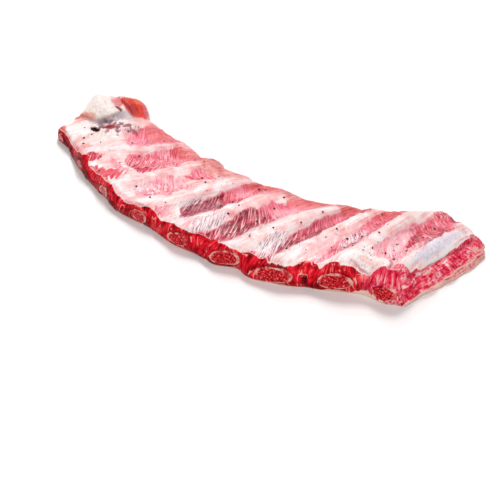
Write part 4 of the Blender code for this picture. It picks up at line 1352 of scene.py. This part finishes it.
bone_place = np.zeros_like(bar_points)
bone_rim = np.zeros(len(bar_points))
bone_core = np.zeros(len(bar_points))
bar_number = np.rint(bar_points[:, 0] / BAR_SPACING).astype(int) + 1
for number in range(1, len(RIB_BONES) + 1):
    here = bar_number == number
    sideways = bar_points[here, 0] - (number - 1) * BAR_SPACING
    upwards = bar_points[here, 1]
    share = bar_points[here, 2] + 0.5
    radius = np.hypot(sideways, upwards)
    outline = bone_outline(number, np.arctan2(upwards, -sideways))
    centre, side, half_width, half_thickness = bone_frame(number, share)
    place = centre - side * (sideways * half_width * outline)[:, None]
    place[:, 2] += upwards * half_thickness * outline
    cap_width = np.where(share < 0.5, half_width[share < 0.5].mean(), half_width[share > 0.5].mean())
    rim_share = 1.0 - RIM_WIDTH * MM / np.minimum(cap_width, half_thickness)
    edge = step_up(radius, rim_share - RIM_EASE[0], rim_share + RIM_EASE[1])
    apart = np.full(len(radius), 3.0 * number)
    pits = noise_in(place[:, 0] / MM, place[:, 2] / MM, apart, (PIT_MM, PIT_MM, 1.0), "pits")
    for end in (0.0, 1.0):
        cap = np.abs(share - end) < AT_EDGE
        height = place[cap, 2] / MM
        across_line = sideways[cap] * half_width[cap] * outline[cap] / MM
        before, after = (np.array(plan_point(number + half, end, 0.0)) for half in (-0.5, 0.5))
        rib_here = number + across_line / np.hypot(*(after - before))
        inward, up_here = set_back(rib_here, end, height)
        proud = RIM_LIFT * edge[cap] - MARROW_PIT * (pits[cap] - PIT_FLOOR) * (1.0 - edge[cap])
        stray = through(FRONT_STRAY if end < 0.5 else BACK_STRAY, rib_here)
        outward = stray + edge_swell(up_here) - inward + proud
        x, y = plan_point(rib_here, np.full_like(rib_here, end), outward if end > 0.5 else -outward)
        place[cap, 0] = (x + PLAN_SHIFT[0]) * MM
        place[cap, 1] = (y + PLAN_SHIFT[1]) * MM
    bone_place[here] = place
    bone_rim[here] = edge
    bone_core[here] = pits
bones.data.vertices.foreach_set("co", bone_place.ravel())
store(bones.data, "rim", bone_rim)
store(bones.data, "pits", bone_core)
store(bones.data, "number", bar_number)
bones.data.update()
bones.data.shade_smooth()
print("bones have", sum(len(p.vertices) - 2 for p in bones.data.polygons), "triangles")

# %% [markdown]
# ## Finish: sawn bone
# A fresh rib end has a thin ivory rim of hard bone. Inside it is spongy and full of dark red
# marrow, with pale threads of bone between the cells. The first ribs end in pale gristle.

# %% Sawn bone finish
SPONGE_CELL_MM = 1.2
RIM_BREAK_MM = 5.0
# dark wet marrow with pale bony threads
MARROW = ((0.34, "#520006"), (0.44, "#98040E"), (0.53, "#CC1C28"), (0.63, "#E4484E"), (0.73, "#F8B8B0"))
# the paler gristle that ends the first ribs
GRISTLE = ((0.36, "#A02C3A"), (0.50, "#CC5C64"), (0.64, "#E8A09A"))
# the ivory rim, stained with blood where it is worn
BONE_RIM = ((0.42, "#B43A3E"), (0.50, "#CE706A"), (0.60, "#EDB8AA"))
LAST_GRISTLE_RIB, FIRST_GRISTLE_RIB = 4.6, 2.4
BONE_SURFACE = {"Roughness": 0.38, "Specular IOR Level": 0.05, "Coat Weight": 0.06, "Coat Roughness": 0.1}


def sawn_bone(material):
    """Ivory rim round wet dark marrow with pale bony threads."""
    tree, shader = shader_of(material, BONE_SURFACE)
    object_at = add_node(tree, "ShaderNodeTexCoord").outputs["Object"]
    cells = noise_on(tree, object_at, 1.0 / (SPONGE_CELL_MM * MM), 3.0, 0.6)
    worn = noise_on(tree, object_at, 1.0 / (RIM_BREAK_MM * MM), 2.0)
    gristly = between(tree, reading(tree, "number"), LAST_GRISTLE_RIB, FIRST_GRISTLE_RIB)
    inside = mix(tree, gristly, ramp(tree, cells, MARROW), ramp(tree, cells, GRISTLE))
    rim_colour = ramp(tree, plus(tree, times(tree, cells, 0.4), times(tree, worn, 0.6)), BONE_RIM)
    colour = mix(tree, times(tree, reading(tree, "rim"), between(tree, worn, 0.40, 0.50)), inside, rim_colour)
    tree.links.new(colour, shader.inputs["Base Color"])
    bump = add_node(tree, "ShaderNodeBump", Height=cells, Strength=0.6, Distance=0.0005)
    tree.links.new(bump.outputs["Normal"], shader.inputs["Normal"])


sawn_bone(bone_finish)
print("bone finish has", len(bone_finish.node_tree.nodes), "nodes")

# %% [markdown]
# ## Cracked pepper
# Coarse grains were thrown on by hand, so they fall at random, thicker towards the broad end.
# The solid model fuses its largest grains to the meat, and the same draw gives their places
# here. Finer ones fill in. The tree drops each grain on the surface with a ray and cracks it.

# %% Where the grains fall
PEPPER_SEED = 9
PEPPER_COUNT = 66
PEPPER_RADIUS = (0.50, 0.95)
PEPPER_SQUASH = (0.6, 0.9)
PEPPER_ALONG = (0.04, 0.97)
PEPPER_ACROSS = (0.07, 0.93)
PEPPER_CROWDING = 0.8
PEPPER_APART = 5.75
FINE_COUNT = 120
FINE_RADIUS = (0.22, 0.45)


def draw_grain(draw, radius_range):
    """The next grain: its place on the plain slab, then its radius in millimetres, turn and squash."""
    grain_along = PEPPER_ALONG[0] + (PEPPER_ALONG[1] - PEPPER_ALONG[0]) * draw.uniform() ** PEPPER_CROWDING
    grain_across = draw.uniform(*PEPPER_ACROSS)
    trait = (draw.uniform(*radius_range), draw.uniform(0.0, 2.0 * pi), draw.uniform(*PEPPER_SQUASH))
    return slab_point(np.array(grain_along), np.array(grain_across), np.array(1.0)), trait


def draw_grains():
    """Places and traits of all grains, the coarse ones in the solid model's order."""
    draw = np.random.default_rng(PEPPER_SEED)
    grains = []
    while len(grains) < PEPPER_COUNT:
        spot, trait = draw_grain(draw, PEPPER_RADIUS)
        if all(np.linalg.norm(spot - other) >= PEPPER_APART * MM for other, _ in grains):
            grains.append((spot, trait))
    grains += [draw_grain(draw, FINE_RADIUS) for _ in range(FINE_COUNT)]
    spots, traits = zip(*grains)
    return np.array(spots), np.array(traits)


grain_spots, grain_traits = draw_grains()
print("grains:", len(grain_spots))

# %% [markdown]
# ## Drop and crack the grains
# The tree looks straight down from above each place, sinks a stone where the ray meets the
# meat, turns it to the slope and then pushes its corners about with noise.

# %% Pepper piece
GRAIN_STRETCH = 1.25
GRAIN_SUNK = 0.25
GRAIN_SHOWS = 0.82
CRACK_MM = 0.5
CRACK_PUSH_MM = 0.35
DROP_FROM = 0.1
STONE_DETAIL = 2


def pepper_tree():
    """Rough stones dropped on a surface at given places."""
    tree, given, out = new_tree("dropped_grains", (("Surface", "Object"), ("Stretch", "Float"),
                                                   ("Sunk", "Float"), ("Crack Scale", "Float"),
                                                   ("Crack Push", "Float"), ("Finish", "Material")),
                                with_mesh=True)
    surface = add_node(tree, "GeometryNodeObjectInfo", {"transform_space": "RELATIVE"},
                       Object=given.outputs["Surface"])
    ray = add_node(tree, "GeometryNodeRaycast", Target_Geometry=surface.outputs["Geometry"], Ray_Length=1.0)
    size, turn, squash = (add_node(tree, "GeometryNodeInputNamedAttribute", {"data_type": "FLOAT"},
                                   Name=name).outputs[0] for name in ("radius", "turn", "squash"))
    rise = times(tree, size, reckon(tree, "SUBTRACT", squash, times(tree, given.outputs["Sunk"], 2.0)))
    lift = add_node(tree, "ShaderNodeVectorMath", {"operation": "SCALE"}, in0=ray.outputs["Hit Normal"],
                    Scale=rise)
    landed = add_node(tree, "GeometryNodeSetPosition", Geometry=given.outputs["Geometry"],
                      Position=ray.outputs["Hit Position"], Offset=lift.outputs[0])
    slope = add_node(tree, "FunctionNodeAlignRotationToVector", {"axis": "Z"},
                     Vector=ray.outputs["Hit Normal"])
    spin = add_node(tree, "ShaderNodeCombineXYZ", Z=turn)
    turned = add_node(tree, "FunctionNodeRotateRotation", {"rotation_space": "LOCAL"},
                      Rotation=slope.outputs[0], Rotate_By=spin.outputs[0])
    size = times(tree, size, GRAIN_SHOWS)
    scale = add_node(tree, "ShaderNodeCombineXYZ", X=times(tree, size, given.outputs["Stretch"]), Y=size,
                     Z=times(tree, size, squash))
    stone = add_node(tree, "GeometryNodeMeshIcoSphere", Radius=1.0, Subdivisions=STONE_DETAIL)
    stones = add_node(tree, "GeometryNodeInstanceOnPoints", Points=landed.outputs["Geometry"],
                      Instance=stone.outputs["Mesh"], Rotation=turned.outputs[0], Scale=scale.outputs[0])
    whole = add_node(tree, "GeometryNodeRealizeInstances", Geometry=stones.outputs["Instances"])
    where = add_node(tree, "GeometryNodeInputPosition")
    noise = add_node(tree, "ShaderNodeTexNoise", Vector=where.outputs[0], Scale=given.outputs["Crack Scale"],
                     Detail=1.0)
    centred = add_node(tree, "ShaderNodeVectorMath", {"operation": "SUBTRACT"}, in0=noise.outputs["Color"],
                       in1=(0.5, 0.5, 0.5))
    push = add_node(tree, "ShaderNodeVectorMath", {"operation": "SCALE"}, in0=centred.outputs[0],
                    Scale=given.outputs["Crack Push"])
    rough = add_node(tree, "GeometryNodeSetPosition", Geometry=whole.outputs["Geometry"],
                     Offset=push.outputs[0])
    return close_tree(tree, rough.outputs["Geometry"], given, out)


def places_mesh():
    """Points well above the rack that carry each grain's size, turn and squash."""
    mesh = bpy.data.meshes.new("grain_places")
    mesh.vertices.add(len(grain_spots))
    mesh.vertices.foreach_set("co", (grain_spots + np.array((0.0, 0.0, DROP_FROM))).ravel())
    store(mesh, "radius", grain_traits[:, 0] * MM)
    store(mesh, "turn", grain_traits[:, 1])
    store(mesh, "squash", grain_traits[:, 2])
    return mesh


pepper_finish = bpy.data.materials.new("cracked_black_pepper")
pepper = grow("pepper_grains", places_mesh(), pepper_tree(),
              {"Surface": meat, "Stretch": GRAIN_STRETCH, "Sunk": GRAIN_SUNK, "Finish": pepper_finish,
               "Crack Scale": 1.0 / (CRACK_MM * MM), "Crack Push": CRACK_PUSH_MM * 2.0 * MM})
print("pepper has", len(pepper.data.polygons), "faces")

# %% [markdown]
# ## Finish: black pepper
# Cracked pepper is black-brown husk with some tan inside, dry and dull against the wet meat.

# %% Black pepper finish
HUSK_MM = 0.45
# dark wrinkled husk with a few tan cracks
HUSK = ((0.35, "#0E0A08"), (0.55, "#2B1E16"), (0.66, "#5C4330"), (0.74, "#A58460"))
PEPPER_ROUGHNESS = 0.75


def black_pepper(material):
    """Dull dark husk with a few tan cracks."""
    tree, shader = shader_of(material, {"Roughness": PEPPER_ROUGHNESS})
    object_at = add_node(tree, "ShaderNodeTexCoord").outputs["Object"]
    colour = ramp(tree, noise_on(tree, object_at, 1.0 / (HUSK_MM * MM), 2.0), HUSK)
    tree.links.new(colour, shader.inputs["Base Color"])


black_pepper(pepper_finish)
print("pepper finish has", len(pepper_finish.node_tree.nodes), "nodes")

# %% [markdown]
# ## Hand the pieces to the frame and finish
# The pieces ride on the one body and stand for the plain solids.

# %% Finish
for piece in (meat, bones, pepper):
    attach(piece, "root")
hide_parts("rack_meat")
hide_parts("rack_meat")
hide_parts(*(f"rib_bone_{number}" for number in range(1, len(RIB_BONES) + 1)))
